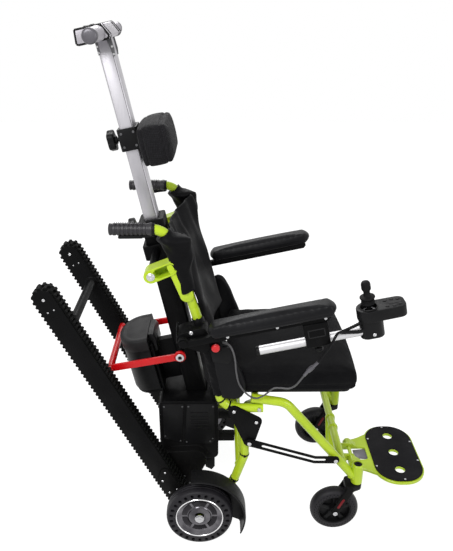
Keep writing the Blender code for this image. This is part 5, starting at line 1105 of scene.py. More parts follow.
# climber: column, battery, yoke, housing and dock bracket
climberSet = {"yokeShaft": (-0.005, 0.133), "yokeHead": 0.1359,
              "batteryX": (-0.19, -0.098), "batteryHalf": 0.088,
              "batteryLow": 0.01, "batteryTop": 0.19, "lid": 0.036,
              "dockBoss": (-0.119, 0.883), "dockOut": 0.2325,
              "dockIn": 0.187, "dockEye": 0.019, "dockArm": (-0.066, 0.905, 0.018),
              "dockStub": 0.012, "dockWall": 0.011,
              "dockLeg": ((-0.062, 0.912, 0.014), (-0.0245, 0.826, 0.0185)), "dockZ": (0.42, 0.464),
              "columnHalf": (0.032, 0.038), "collarHalf": (0.037, 0.043), "columnTop": 0.536,
              "yokeReach": (-0.21, -0.039), "yokeDepth": 0.022, "yokeIn": 0.1232,
              "yokeT": 0.008, "yokeEnd": 0.1458,
              "boltHead": ((0.0, -0.001), (0.0125, -0.001), (0.0125, 0.0006),
                           (0.011, 0.0016), (0.0068, 0.0018),
                           (0.006, 0.0002), (0.0, 0.0002)),
              "boltCap": ((0.0, 0.0002), (0.0056, 0.0002), (0.005, 0.0011), (0.0, 0.0011)),
              "dockPin": ((0.0, -0.001), (0.0112, -0.001), (0.0112, 0.001),
                          (0.0104, 0.0016), (0.0082, 0.0018),
                          (0.0078, 0.0032), (0.0056, 0.0045), (0.0036, 0.0045),
                          (0.0032, 0.0025), (0.0, 0.0025))}


def batteryOutline(grow, steps=44):
    c = climberSet
    front, rear = c["batteryX"][1], c["batteryX"][0] - grow
    half = c["batteryHalf"] + grow
    flank = front - 0.02
    points = [(front, -half), (front, half)]
    for i in range(1, steps):
        angle = math.pi / 2 - math.pi * i / steps
        points.append((flank - (flank - rear) * math.cos(angle) ** 0.8, half * math.sin(angle)))
    return points


def stacked(layers):
    bm = bmesh.new()
    grow, height = layers[0]
    ring = [bm.verts.new((x, y, height)) for x, y in batteryOutline(grow)]
    base = face = bm.faces.new(ring)
    for grow, z in layers[1:]:
        below, face = face, extruded(bm, [face], 0.0)[0]
        if below is not base:
            bmesh.ops.delete(bm, geom=[below], context="FACES_ONLY")
        doubles = {tuple(v.co): v for v in face.verts}
        ring = [doubles[tuple(v.co)] for v in ring]
        for v, (x, y) in zip(ring, batteryOutline(grow)):
            v.co = (x, y, z)
    return bm


def makeBattery():
    c = climberSet
    low, top = c["batteryLow"], c["batteryTop"]
    split = top - c["lid"]
    case = stacked([(-0.003, low), (-0.001, low + 0.001), (0.0, low + 0.004), (0.0, split - 0.0025),
                    (-0.0022, split - 0.0018)])
    keepPiece(moved(case, columnAxes), "batteryCase", "blackPlastic", "chair", ["battery_pack"])
    lid = stacked([(-0.0022, split - 0.0019), (0.0022, split - 0.0012), (0.003, split),
                   (0.003, top - 0.008), (0.0025, top - 0.0045),
                   (0.0005, top - 0.0018), (-0.003, top - 0.0004), (-0.008, top),
                   (-0.015, top - 0.0006), (-0.017, top - 0.0016),
                   (-0.02, top - 0.0016)])
    keepPiece(moved(lid, columnAxes), "batteryLid", "greyPlastic", "chair")
    front = c["batteryX"][1]
    outline = [(front + 0.0098, split - 0.03), (front + 0.018, split - 0.026),
               (front + 0.02, split + 0.014),
               (front + 0.015, top - 0.006), (front + 0.0005, top - 0.003), (front + 0.0005, top - 0.03)]
    raised = [(x + 0.0012, z - 0.004) for x, z in outline]
    latch = [slab(outline, -0.052, 0.052, edge=0.002), slab(raised, -0.022, 0.022, edge=0.002)]
    keepParts(latch, columnAxes, "batteryLatch", "blackPlastic", "chair")


def makeColumn():
    c = climberSet
    keepSoftened("column", "column", "blackMetal", "chair", 0.0012)
    x, z = c["yokeShaft"]
    heads, centres = [], []
    for _, side in sides:
        y = side * c["yokeHead"]
        heads.append(spun(outward(side, c["boltHead"]), (x, y, z), "Y", 28))
        centres.append(spun(outward(side, c["boltCap"]), (x, y, z), "Y", 20))
    keepParts(heads, columnAxes, "yokeBolts", "steel", "chair")
    keepParts(centres, columnAxes, "yokeBoltCaps", "blackPlastic", "chair")
    screws = []
    wide = c["collarHalf"][1] + 0.0002
    for _, side in sides:
        for x in (-0.018, 0.018):
            screws.append(sideBolt(x, wide, c["columnTop"] - 0.018, side, 0.0042, 0.0022))
    keepParts(screws, columnAxes, "columnScrews", "darkSteel", "chair")


housingSet = {
    "covers": (((-0.05, 0.24), (0.036, 0.24), (0.046, 0.252), (0.046, 0.392), (-0.04, 0.392)),
               ((-0.116, 0.262), (-0.06, 0.242), (-0.05, 0.392), (-0.116, 0.392))),
    "coverY": (0.099, 0.103), "screwY": 0.1031, "screwInset": 0.01,
    "ribs": 5, "ribX": (-0.03, 0.026), "ribY": (0.102, 0.1055), "ribZ": 0.3,
    "ribPitch": 0.014, "ribHigh": 0.005,
    "bracket": ((0.008, 0.224), (0.046, 0.224), (0.046, 0.142), (0.036, 0.128), (0.016, 0.14)),
    "bracketY": (0.06, 0.096), "boltRing": (-0.069, 0.1018, 0.033), "boltY": 0.1282,
    "rearX": -0.128, "rearHalf": 0.076, "rearZ": (0.222, 0.378), "rearCorner": 0.012,
    "slots": 8, "slotHalf": 0.046, "slotZ": 0.262, "slotPitch": 0.011,
    "rearScrews": ((-0.066, 0.232), (-0.066, 0.368), (0.066, 0.232), (0.066, 0.368)),
}


def makeHousing():
    h = housingSet
    keepSoftened("drive_housing", "driveHousing", "blackMetal", "chair", 0.0016)
    screws, covers = [], []
    ringX, ringZ, ringR = h["boltRing"]
    for _, side in sides:
        for outline in h["covers"]:
            covers.append(slab(outline, *between(side, *h["coverY"]), edge=0.0014))
            middle = Vector((sum(x for x, _ in outline), sum(z for _, z in outline))) / len(outline)
            for x, z in outline:
                spot = Vector((x, z)) + (middle - Vector((x, z))).normalized() * h["screwInset"]
                screws.append(sideBolt(spot.x, h["screwY"], spot.y, side, 0.003, 0.0018))
        for k in range(h["ribs"]):
            z = h["ribZ"] + h["ribPitch"] * k
            covers.append(brick(*h["ribX"], *between(side, *h["ribY"]), z, z + h["ribHigh"], 0.001))
        covers.append(slab(h["bracket"], *between(side, *h["bracketY"]), edge=0.002))
        for turn in (math.radians(angle) for angle in range(0, 360, 60)):
            spot = (ringX + ringR * math.cos(turn), h["boltY"], ringZ + ringR * math.sin(turn))
            screws.append(sideBolt(*spot, side, 0.0036, 0.0018))
    rear = h["rearX"]
    plate = roundedBox(-h["rearHalf"], h["rearHalf"], *h["rearZ"], h["rearCorner"])
    covers.append(slab(plate, rear - 0.0035, rear + 0.0005, along="X", edge=0.0014))
    for k in range(h["slots"]):
        z = h["slotZ"] + h["slotPitch"] * k
        covers.append(brick(rear - 0.0055, rear - 0.003, -h["slotHalf"], h["slotHalf"], z,
                            z + h["ribHigh"], 0.0009))
    screws += [bolt((rear - 0.0036, y, z), (-1.0, 0.0, 0.0), 0.0034, 0.0018) for y, z in h["rearScrews"]]
    keepParts(screws, toPart, "housingScrews", "darkSteel", "chair")
    keepParts(covers, toPart, "housingCovers", "blackPlastic", "chair")


def makeYoke():
    c = climberSet
    shaft = columnAxes @ Vector((c["yokeShaft"][0], 0.0, c["yokeShaft"][1]))
    (reach, drop), deep = c["yokeReach"], c["yokeDepth"] / 2
    parts = []
    for _, side in sides:
        low, high = between(side, c["yokeIn"], c["yokeIn"] + c["yokeT"])
        eye = [(0.0077, low), (0.0165, low), (0.0175, low + 0.001), (0.0175, high - 0.001),
               (0.0165, high), (0.0077, high)]
        parts.append(spun(eye, (0.0, 0.0, 0.0), "Y", 40, closed=True))
        along = Vector((reach, 0.0, drop)).normalized()
        across = Vector((-along.z, 0.0, along.x))
        start, stop = along * 0.013, Vector((reach, 0.0, drop))
        strip = [start + across * 0.0105, stop + across * deep,
                 stop - across * deep, start - across * 0.0105]
        parts.append(slab([(p.x, p.z) for p in strip], low, high, edge=0.0012))
        parts.append(slab(ringPoints(reach, drop, deep, 36), low, high, edge=0.0012))
    end = c["yokeEnd"]
    parts.append(spun([(0.0, -end), (deep - 0.0015, -end), (deep - 0.0005, 0.001 - end),
                       (deep - 0.0005, end - 0.001),
                       (deep - 0.0015, end), (0.0, end)], (reach, 0.0, drop), "Y", 32))
    keepPiece(moved(joined(*parts), Matrix.Translation(shaft)), "liftYoke", "redPaint",
              "lift_yoke", ["lift_yoke"])


def makeDock():
    c = climberSet
    x, z = c["dockBoss"]
    inner, outer = c["dockIn"], c["dockOut"]
    (hx, hy), wall = c["columnHalf"], c["dockWall"]
    armX, armZ, armR = c["dockArm"]
    ring = pierced(roundedBox(-hx - wall, hx + wall, -hy - wall, hy + wall, 0.01),
                   [roundedBox(-hx, hx, -hy, hy, 0.006)],
                   *c["dockZ"], edge=0.0015)
    stubs, arms, pins = [], [], []
    for _, side in sides:
        stub = between(side, hy + 0.004, inner + 0.004)
        stubs.append(rod(c["dockStub"], *stub, (x, 0.0, z), 28))
        shell = band([(x, z, c["dockEye"]), c["dockArm"]], 48)
        hollow = band([(x + 0.021, z + 0.0087, 0.0135), (armX, armZ, armR - 0.0038)], 40)
        arms.append(pierced(shell, [hollow], *between(side, inner, outer), along="Y", edge=0.0008))
        arms.append(slab(hollow, *between(side, inner + 0.004, inner + 0.0075), edge=0.0004))
        arms.append(slab(band(c["dockLeg"], 48), *between(side, inner, outer - 0.003), edge=0.002))
        pins.append(spun(outward(side, c["dockPin"]), (x, side * outer, z), "Y", 30))
    keepParts(arms, toPart, "dockArms", "lime", "chair", ["dock_bracket"], slot="lime_alloy")
    keepPiece(joined(moved(ring, columnAxes), *[moved(stub, toPart) for stub in stubs]),
              "dockRing", "blackMetal", "chair")
    keepParts(pins, toPart, "dockPins", "steel", "chair")
    makeYoke()


makeColumn()
makeBattery()
makeHousing()
makeDock()
print("climber made")

# mast with handle, headrest clamp and knobs
mastSet = {"half": 0.028, "lineX": 0.0158, "lineLow": 0.545, "top": 1.0325, "bar": (0.004, 1.0505),
           "gripR": 0.0185, "barIn": 0.1004,
           "barEnd": 0.212, "consoleHalf": 0.1, "knobR": 0.03, "knobT": 0.02, "knobStem": 0.014, "lobes": 5,
           "headKnob": (-0.0284, 0.7725), "mastKnob": (-0.0374, 0.513),
           "ribs": 9, "ribPitch": 0.0102, "trimR": 0.0029,
           "lugs": (((0.0085, 1.036), (0.0225, 1.036), (0.024, 1.004), (0.0215, 0.988),
                     (0.0165, 0.987), (0.014, 1.006)),
                    ((-0.0215, 1.036), (-0.015, 1.036), (-0.0165, 1.0), (-0.0205, 0.997))),
           "lugScrews": ((0.019, 0.993), (0.0195, 1.012), (-0.0184, 1.004), (-0.0182, 1.019)),
           "trim": ((-0.0535, 1.037), (-0.0496, 1.0698), (0.0156, 1.0698), (0.0311, 1.0404),
                    (0.0253, 1.0342), (-0.049, 1.0342)),
           "pad": ((-0.046, 1.0705), (-0.046, 1.0722), (-0.014, 1.0722), (-0.014, 1.0705)),
           "padY": (0.0235, 0.03),
           "clampScrews": ((-0.017, 0.754), (-0.017, 0.791), (0.017, 0.754), (0.017, 0.791)),
           "clampY": 0.0382}


def makeMast():
    m = mastSet
    keepSoftened("mast", "mast", "alloy", "mast", 0.0008)
    wide = m["half"]
    grooveShades, plates, screws = [], [], []
    for _, side in sides:
        x, y = m["lineX"], side * (wide + 0.0001)
        ends = (m["lineLow"], m["top"] - 0.004)
        # each dark grey strip stands for the slot groove down the mast's side: its dark colour is painted
        # shade of the groove, not a cut
        grooveShades.append(brick(x - 0.0005, x + 0.0005, y - 0.0003, y + 0.0003, *ends, 0.0001, 1))
        plates += [slab(lug, *between(side, wide - 0.0005, wide + 0.0024), edge=0.0006)
                   for lug in m["lugs"]]
        screws += [sideBolt(x, wide + 0.0026, z, side, 0.003, 0.002) for x, z in m["lugScrews"]]
    keepParts(grooveShades, columnAxes, "mastGrooveShades", "greyPlastic", "mast")
    keepParts(plates, columnAxes, "mastBrackets", "darkSteel", "mast")
    keepParts(screws, columnAxes, "mastScrews", "steel", "mast")


def makeHandle():
    m = mastSet
    keepSoftened("handle_console", "handleConsole", "silverPlastic", "mast", 0.0028, 3)
    x, z = m["bar"]
    inner, end, wide = m["barIn"], m["barEnd"], m["gripR"]
    half = [(0.01, 0.0), (0.01, inner), (wide + 0.0005, inner), (wide + 0.001, inner + 0.002),
            (wide + 0.001, inner + 0.006)]
    for k in range(m["ribs"]):
        y = inner + 0.01 + k * m["ribPitch"]
        half += [(wide - 0.0014, y), (wide - 0.0002, y + 0.002), (wide - 0.0002, y + 0.0062),
                 (wide - 0.0014, y + 0.0082)]
    half += [(wide - 0.0004, end - 0.007), (wide - 0.0012, end - 0.0035),
             (wide - 0.0045, end - 0.0008), (wide - 0.0085, end),
             (wide - 0.01, end - 0.002), (0.0, end - 0.002)]
    profile = flipped(half[1:]) + half
    keepPiece(moved(spun(profile, (x, 0.0, z), "Y", 36), columnAxes), "handleBar",
              "silverPlastic", "mast", ["handle_bar"])
    caps = []
    for _, side in sides:
        rim = [(wide - 0.0016, end - 0.018), (wide + 0.0004, end - 0.0172), (wide + 0.0006, end - 0.006),
               (wide - 0.0008, end - 0.0024),
               (wide - 0.004, end - 0.0002), (wide - 0.0085, end + 0.0006), (0.0, end + 0.0008)]
        caps.append(spun(outward(side, rim), (x, 0.0, z), "Y", 36))
    keepParts(caps, columnAxes, "gripCaps", "gripGrey", "mast")
    keepSoftened("climb_switch", "climbSwitch", "blackPlastic", "climb_switch", 0.0012, 3)
    trims = []
    for _, side in sides:
        for y in (side * (m["consoleHalf"] - 0.0016), side * (m["consoleHalf"] - 0.03)):
            loop = [(x, y, z) for x, z in m["trim"]]
            trims += [tube([a, b], m["trimR"], 12) for a, b in zip(loop, loop[1:] + loop[:1])]
    trims += [slab(m["pad"], *between(side, *m["padY"]), edge=0.0006) for _, side in sides]
    keepParts(trims, columnAxes, "consoleTrim", "blackPlastic", "mast")


def knob(place):
    m = mastSet
    outline, steps = [], m["lobes"] * 16
    for i in range(steps):
        angle = 2 * math.pi * i / steps
        reach = m["knobR"] - 0.002 * (1 - math.cos(m["lobes"] * angle))
        outline.append((reach * math.cos(angle), reach * math.sin(angle)))
    neck, face = -m["knobStem"], -m["knobStem"] - m["knobT"]
    head = slab(outline, face, neck, along="X", edge=0.004, segments=3)
    stem = spun([(0.0, neck - 0.002), (0.0125, neck - 0.002), (0.011, neck + 0.005),
                 (0.006, neck + 0.006), (0.006, 0.0),
                 (0.0, 0.0)], (0.0, 0.0, 0.0), "X", 24)
    cap = spun([(0.0, face - 0.0006), (0.008, face - 0.0006), (0.009, face + 0.001)],
               (0.0, 0.0, 0.0), "X", 20)
    return moved(joined(head, stem, cap), columnAxes @ Matrix.Translation((place[0], 0.0, place[1])))


def makeHeadClamp():
    m = mastSet
    keepSoftened("headrest_clamp", "headrestClamp", "blackPlastic", "headrest", 0.0016, 3,
                 slot="black_metal")
    keepPiece(knob(m["headKnob"]), "headrestKnob", "blackPlastic", "headrest_knob", ["headrest_knob"])
    keepPiece(knob(m["mastKnob"]), "mastKnob", "blackPlastic", "mast_knob", ["mast_knob"])
    screws = []
    for _, side in sides:
        screws += [sideBolt(x, m["clampY"], z, side, 0.0036, 0.0018) for x, z in m["clampScrews"]]
    keepParts(screws, columnAxes, "clampScrews", "darkSteel", "headrest")


makeMast()
makeHandle()
makeHeadClamp()
print("mast made")

# hinge blocks, pivot plates, strut links and footplate
linkSet = {"hingeOut": 0.2555, "plateOut": 0.2309, "strutOut": 0.2373,
           "plateBolts": ((0.104, 0.456), (0.17, 0.418)),
           "strutBolts": ((0.15, 0.346), (0.412, 0.27974)), "pins": ((-0.03, 0.682), (0.014, 0.672)),
           "pinY": (0.18, 0.246), "ribs": 6, "ribX": (-0.0555, -0.0515),
           "ribY": (0.199, 0.25), "ribZ": 0.692,
           "ribPitch": 0.0075, "collarZ": 0.746}


def makeHinge(label, side):
    s = linkSet
    keepSoftened("back_hinge_" + label, "backHinge_" + label, "blackMetal", "chair", 0.0016)
    out = s["hingeOut"]
    screws = [sideBolt(-0.014, out + 0.0002, 0.728, side, 0.0058, 0.0026),
              sideBolt(0.008, out - 0.003, 0.694, side, 0.005, 0.0026)]
    low, high = between(side, *s["pinY"])
    pin = [(0.0, low), (0.0042, low), (0.0048, low + 0.001), (0.0048, high - 0.001),
           (0.0042, high), (0.0, high)]
    screws += [spun(pin, (x, 0.0, z), "Y", 18) for x, z in s["pins"]]
    ribs = []
    for k in range(s["ribs"]):
        z = s["ribZ"] + k * s["ribPitch"]
        ribs.append(brick(*s["ribX"], *between(side, *s["ribY"]), z, z + 0.0038, 0.0008, 1))
    collar = (backX(s["collarZ"]), side * frameSet["y"], s["collarZ"])
    ribs.append(wrap(collar, (backX(0.8) - backX(0.7), 0.0, 0.1), 0.0137, 0.016, 0.003))
    keepParts(screws, toPart, "hingeScrews_" + label, "steel", "chair")
    keepParts(ribs, toPart, "hingeRibs_" + label, "blackPlastic", "chair")


def makeLinks(label, side):
    s = linkSet
    keepSoftened("pivot_plate_" + label, "pivotPlate_" + label, "blackMetal", "chair", 0.0008)
    keepSoftened("strut_link_" + label, "strutLink_" + label, "blackMetal", "chair", 0.001)
    screws = [sideBolt(x, s["plateOut"] + 0.004, z, side, 0.005, 0.002) for x, z in s["plateBolts"]]
    screws += [sideBolt(x, s["strutOut"] + 0.004, z, side, 0.0062, 0.0022) for x, z in s["strutBolts"]]
    keepParts(screws, toPart, "linkScrews_" + label, "steel", "chair")


footSet = {
    "x": (0.578, 0.747), "half": 0.15, "corner": 0.078, "low": 0.105, "top": 0.115,
    "neckX": 0.5, "neckHalf": 0.1,
    "swing": 0.1425, "windowX": 0.57, "windowHalf": 0.0327, "knuckle": 0.026, "knuckleReach": 0.03,
    "eye": 0.012, "pin": 0.0067,
    "treadInset": 0.005, "treadLow": 0.1154, "treadTop": 0.1184, "hole": 0.0165,
    "holeX": 0.664, "holeStep": 0.089,
    "screws": ((0.59, 0.072), (0.59, -0.072), (0.655, 0.1375), (0.668, -0.1375),
               (0.7355, 0.055), (0.7355, -0.045)),
}


def footOutline():
    f = footSet
    x0, x1 = f["x"]
    headX, headY = frameSet["headX"], frameSet["y"]
    half = []
    last = headX + math.sqrt(f["swing"] ** 2 - (headY - f["neckHalf"] + 0.004) ** 2)
    for i in range(17):
        x = f["neckX"] + (last - f["neckX"]) * i / 16
        half.append((x, headY - math.sqrt(f["swing"] ** 2 - (x - headX) ** 2)))
    for i in range(19):
        angle = math.radians(156.0 - 66.0 * i / 18)
        half.append((x0 + f["corner"] * (1 + math.cos(angle)),
                     f["half"] - f["corner"] * (1 - math.sin(angle))))
    for i in range(21):
        angle = math.radians(90.0 - 90.0 * i / 20)
        half.append((x1 - f["corner"] * (1 - math.cos(angle)),
                     f["half"] - f["corner"] * (1 - math.sin(angle))))
    edge, deep, wide = 0.01, f["windowX"], f["windowHalf"]
    notch = [(f["neckX"], -wide), (deep - edge, -wide), (deep - 0.3 * edge, -wide + 0.3 * edge),
             (deep, -wide + edge),
             (deep, wide - edge), (deep - 0.3 * edge, wide - 0.3 * edge),
             (deep - edge, wide), (f["neckX"], wide)]
    return half + flipped(half) + notch


def makeFootplate():
    f = footSet
    holes = [ringPoints(f["holeX"], k * f["holeStep"], f["hole"], 40) for k in (-1, 0, 1)]
    parts = [pierced(footOutline(), holes, f["low"], f["top"], edge=0.0014)]
    x, z = frameSet["footHinge"]
    tip = (x + f["knuckleReach"], (f["low"] + f["top"]) / 2, 0.0045)
    for _, side in sides:
        span = between(side, f["windowHalf"], f["windowHalf"] + f["knuckle"])
        parts.append(pierced(band([(x, z, f["eye"]), tip], 48), [ringPoints(x, z, f["pin"], 24)],
                             *span, along="Y", edge=0.0008))
    keepParts(parts, toPart, "footplate", "lime", "footrest", ["footplate"])
    inset = f["treadInset"]
    outline = roundedBox(f["x"][0] + inset, f["x"][1] - inset, inset - f["half"],
                         f["half"] - inset, f["corner"] - inset, 20)
    tread = pierced(outline, holes, f["treadLow"], f["treadTop"], edge=0.0006)
    keepPiece(moved(tread, toPart), "footTread", "treadRubber", "footrest", ["foot_tread"])
    screws = [bolt((x, y, f["treadTop"] + 0.0002), (0.0, 0.0, 1.0), 0.0034, 0.0012) for x, y in f["screws"]]
    keepParts(screws, toPart, "treadScrews", "steel", "footrest")
    web = slab([(0.526, -0.021), (0.562, -0.026), (0.571, -0.032), (0.571, 0.032), (0.562, 0.026),
                (0.526, 0.021)], 0.1085, 0.1108,
               along="Z", edge=0.0006)
    keepPiece(moved(web, toPart), "footWeb", "gripGrey", "footrest")


for label, side in sides:
    makeHinge(label, side)
    makeLinks(label, side)
makeFootplate()
print("hinges and links made")

# armrest bars, joystick and stop button, in the armrest's axes
stickSet = {"barOut": 0.2782, "barScrews": (0.12, 0.255, 0.385), "y": -0.2672, "tubeZ": -0.069,
            "tubeR": 0.0125, "tubeStart": 0.185, "tubeEnd": 0.4885, "x": 0.502,
            "well": 0.022, "pivotZ": -0.012, "clamp": (0.322, 0.388), "stop": (0.052, 0.685),
            "stopSeat": -0.2589, "stopPlateY": (-0.233, -0.2285),
            "buttons": ((0.548, -0.016), (0.548, 0.016), (0.566, -0.019), (0.566, 0.019),
                        (0.582, -0.014), (0.582, 0.014)),
            "stopPlate": ((0.036, 0.662), (0.044, 0.67), (0.092, 0.67), (0.1, 0.66), (0.098, 0.626),
                          (0.086, 0.616), (0.044, 0.622))}


def makeArmBar(label, side):
    body = "armrest_" + label
    keepSoftened("armrest_bar_" + label, "armrestBar_" + label, "blackMetal", body, 0.0014)
    outer = stickSet["barOut"] + 0.0002
    screws = [sideBolt(x, outer, -0.0045, side, 0.004, 0.002) for x in stickSet["barScrews"]]
    keepParts(screws, armAxes, "armScrews_" + label, "steel", body)


def makeJoystick():
    k = stickSet
    body, y = "armrest_right", k["y"]
    wide, start, end = k["tubeR"], k["tubeStart"], k["tubeEnd"]
    pole = rod(wide, start + 0.01, end, (0.0, y, k["tubeZ"]), 36, "X")
    keepPiece(moved(pole, armAxes), "joystickTube", "tubeAlloy", body, ["joystick_arm"])
    cap = [(0.0, start), (wide - 0.003, start), (wide - 0.0006, start + 0.0015),
           (wide + 0.0004, start + 0.004),
           (wide + 0.0004, start + 0.0105), (0.0, start + 0.0105)]
    parts = [spun(cap, (0.0, y, k["tubeZ"]), "X", 30)]
    first, last = k["clamp"]
    low = k["tubeZ"] - 0.017
    screw = [(0.0, low), (0.005, low), (0.005, low - 0.006), (0.01, low - 0.007), (0.011, low - 0.009),
             (0.011, low - 0.015), (0.0095, low - 0.017), (0.0, low - 0.017)]
    parts.append(spun(screw, ((first + last) / 2, y, 0.0), "Z", 10))
    frameOut = y - 0.0172
    deep, bar = (frameOut - 0.0008, frameOut + 0.0015), 0.0016
    window = [brick(first + 0.01, last - 0.01, *deep, z - bar, z + bar, 0.0005, 1) for z in (-0.03, -0.052)]
    window += [brick(x - bar, x + bar, *deep, -0.0535, -0.0285, 0.0005, 1)
               for x in (first + 0.011, last - 0.011)]
    keepParts(parts, armAxes, "joystickClamp", "blackPlastic", body)
    keepParts(window, armAxes, "clampFrame", "greyPlastic", body)
    keepSoftened("joystick_housing", "joystickHousing", "blackPlastic", body, 0.0018, 3)
    keepSoftened("joystick_gimbal", "joystickGimbal", "darkSteel", "joystick_gimbal", 0.0005)
    rim = [(k["well"] + 0.0004, -0.004), (k["well"] + 0.0004, 0.0014), (k["well"] + 0.002, 0.0018),
           (k["well"] + 0.0034, 0.0004),
           (k["well"] + 0.0034, -0.001)]
    panel = [spun(rim, (k["x"], y, 0.0), "Z", 36)]
    for x, shift in k["buttons"]:
        panel.append(spun([(0.0055, -0.001), (0.0055, 0.001), (0.0046, 0.0017), (0.0, 0.0017)],
                          (x, y + shift, 0.0), "Z", 20))
    panel.append(brick(0.5545, 0.5875, y - 0.0065, y + 0.0065, -0.001, 0.0008, 0.0006, 1))
    keepParts(panel, armAxes, "joystickPanel", "greyPlastic", body)
    screw = bolt((k["x"] + 0.003, y - 0.0217, -0.075), (0.0, -1.0, 0.0), 0.0048, 0.0022)
    keepPiece(moved(screw, armAxes), "joystickScrew", "steel", body)
    stick = [(0.0, -0.018), (0.005, -0.018), (0.005, 0.0085), (0.0185, 0.0105),
             (0.019, 0.0125), (0.0168, 0.0145),
             (0.0182, 0.0162), (0.016, 0.018), (0.0174, 0.0198), (0.015, 0.0218),
             (0.0164, 0.0236), (0.0195, 0.0262),
             (0.0205, 0.0285), (0.0198, 0.0312), (0.015, 0.0328), (0.0105, 0.034),
             (0.009, 0.037), (0.0085, 0.044),
             (0.0096, 0.0482), (0.0122, 0.052), (0.0126, 0.0555), (0.0125, 0.066),
             (0.0117, 0.0705), (0.0092, 0.0742),
             (0.005, 0.0758), (0.0, 0.076)]
    pin = rod(0.002, -0.0119, 0.0119, (k["x"], y, k["pivotZ"]), 10, "X")
    keepPiece(moved(joined(spun(stick, (k["x"], y, 0.0), "Z", 36), pin), armAxes), "joystickStick",
              "rubber", "joystick_stick",
              ["joystick_stick"])
    x, z = k["stop"]
    seat = k["stopSeat"]
    keepPiece(moved(slab(k["stopPlate"], *k["stopPlateY"], edge=0.001), toPart),
              "stopPlate", "blackPlastic", "chair")
    button = [(0.0, seat + 0.02), (0.006, seat + 0.02), (0.006, seat), (0.0105, seat),
              (0.0115, seat - 0.001), (0.0115, seat - 0.0065),
              (0.0108, seat - 0.0088), (0.0088, seat - 0.0104), (0.005, seat - 0.011), (0.0, seat - 0.011)]
    keepPiece(moved(spun(button, (x, 0.0, z), "Y", 36), toPart), "stopButton", "redPlastic",
              "stop_button", ["stop_button"])


for label, side in sides:
    makeArmBar(label, side)
makeJoystick()
print("armrests and joystick made")

# soft goods
softSet = {
    "shading": 80.0, "frames": 20,
    "seat": {"node": "seat_cushion", "finish": "seatCloth", "body": "chair", "voxel": 0.006,
             "pressure": 4.0, "cap": 0.005,
             "fill": 0.75, "smooth": 10},
    "headrest": {"node": "headrest_pad", "finish": "meshCloth", "body": "headrest", "voxel": 0.0045,
                 "pressure": 4.0, "cap": 0.0022,
                 "fill": 0.8, "smooth": 3},
    "pad": {"finish": "padVinyl", "voxel": 0.004, "pressure": 3.0, "cap": 0.0025, "fill": 0.9, "smooth": 5},
}


def settled(bag):
    graph = bpy.context.evaluated_depsgraph_get()
    bag.data = bpy.data.meshes.new_from_object(bag.evaluated_get(graph))
    bag.modifiers.clear()
    return bag.data


def keepPadded(bm, name, finish, body, replaced=()):
    piece = keepPiece(bm, name, finish, body, replaced, smooth=softSet["shading"])


def stuffed(node, name, look, held):
    # the CAD solid as a bag of cloth under pressure; held says which points stay where they rest
    bm = cadMesh(node)
    mesh = bpy.data.meshes.new(name)
    bm.to_mesh(mesh)
    bm.free()
    bag = bpy.data.objects.new(name, mesh)
    scene.collection.objects.link(bag)
    step = bag.modifiers.new("voxels", "REMESH")
    step.mode = "VOXEL"
    step.voxel_size = look["voxel"]
    even = bag.modifiers.new("even", "SMOOTH")
    even.factor = 0.5
    even.iterations = look["smooth"]
    mesh = settled(bag)
    rest = [v.co.copy() for v in mesh.vertices]
    group = bag.vertex_groups.new(name="held")
    group.add([v.index for v in mesh.vertices if held(v.co)], 1.0, "REPLACE")
    cloth = bag.modifiers.new("stuffing", "CLOTH")
    cloth.settings.use_pressure = True
    cloth.settings.uniform_pressure_force = look["pressure"]
    cloth.settings.effector_weights.gravity = 0.0
    cloth.settings.vertex_group_mass = "held"
    cloth.settings.quality = 4
    cloth.point_cache.frame_end = softSet["frames"]
    for moment in range(1, softSet["frames"] + 1):
        scene.frame_set(moment)
    mesh = settled(bag)
    scene.frame_set(1)
    for v, start in zip(mesh.vertices, rest):
        swell = v.co - start
        if swell.length > look["cap"]:
            v.co = start + swell.normalized() * look["cap"]
    finer = bag.modifiers.new("finer", "SUBSURF")
    finer.levels = finer.render_levels = 1
    bm = bmesh.new()
    bm.from_mesh(settled(bag))
    bpy.data.objects.remove(bag)
    return bm


def seamed(bm, seams, depth=0.002, width=0.0028):
    # presses grooves into the cloth where a seam's distance is nought
    bm.normal_update()
    for v in bm.verts:
        sink = sum(math.exp(-(seam(v.co) / width) ** 2) for seam in seams)
        if sink > 0.01:
            v.co -= v.normal * depth * min(sink, 1.0)
    return bm


def makeSeat():
    look = softSet["seat"]
    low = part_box("seat_cushion")[0][2]
    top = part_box("seat_cushion")[1][2]
    bm = stuffed(look["node"], "seatBag", look, lambda p: p.z < low + 0.006)
    quarter = low + 0.27 * (top - low)
    seamed(bm, [lambda p: p.z - quarter, lambda p: p.z - quarter - 0.006])
    keepPadded(bm, "seatCushion", look["finish"], look["body"], [look["node"]])


def makeHeadrest():
    look = softSet["headrest"]
    back = columnAxes.inverted()
    bm = stuffed(look["node"], "headBag", look, lambda p: (back @ p).x < 0.034)
    seamed(bm, [lambda p: (back @ p).x - 0.098, lambda p: (back @ p).x - 0.046], 0.003, 0.0028)
    keepPadded(bm, "headrestPad", look["finish"], look["body"], [look["node"]])


def makeArmPad(label):
    look = softSet["pad"]
    node = "armrest_pad_" + label
    back = armAxes.inverted()
    bm = stuffed(node, "armBag", look, lambda p: (back @ p).z < 0.009)
    seamed(bm, [lambda p: (back @ p).z - 0.018], 0.0012, 0.0014)
    keepPadded(bm, "armrestPad_" + label, look["finish"], "armrest_" + label, [node])


# back upholstery: a slack sling between the tubes, with sleeves that run up into their bends
slingSet = {"top": 0.23, "low": -0.15, "step": -0.01, "half": 0.221, "lowHalf": 0.196,
            "front": 0.0335, "thick": 0.009,
            "sag": 0.034, "topSag": 0.02, "span": 0.8, "droop": 0.012, "puff": 0.012,
            "curl": (0.022, 0.012), "across": 72, "up": 64,
            "sleeveR": 0.0222, "sleeveLow": 0.836, "sleeveEnd": 9, "flare": 0.0075,
            "lap": 0.022, "fill": 0.3}


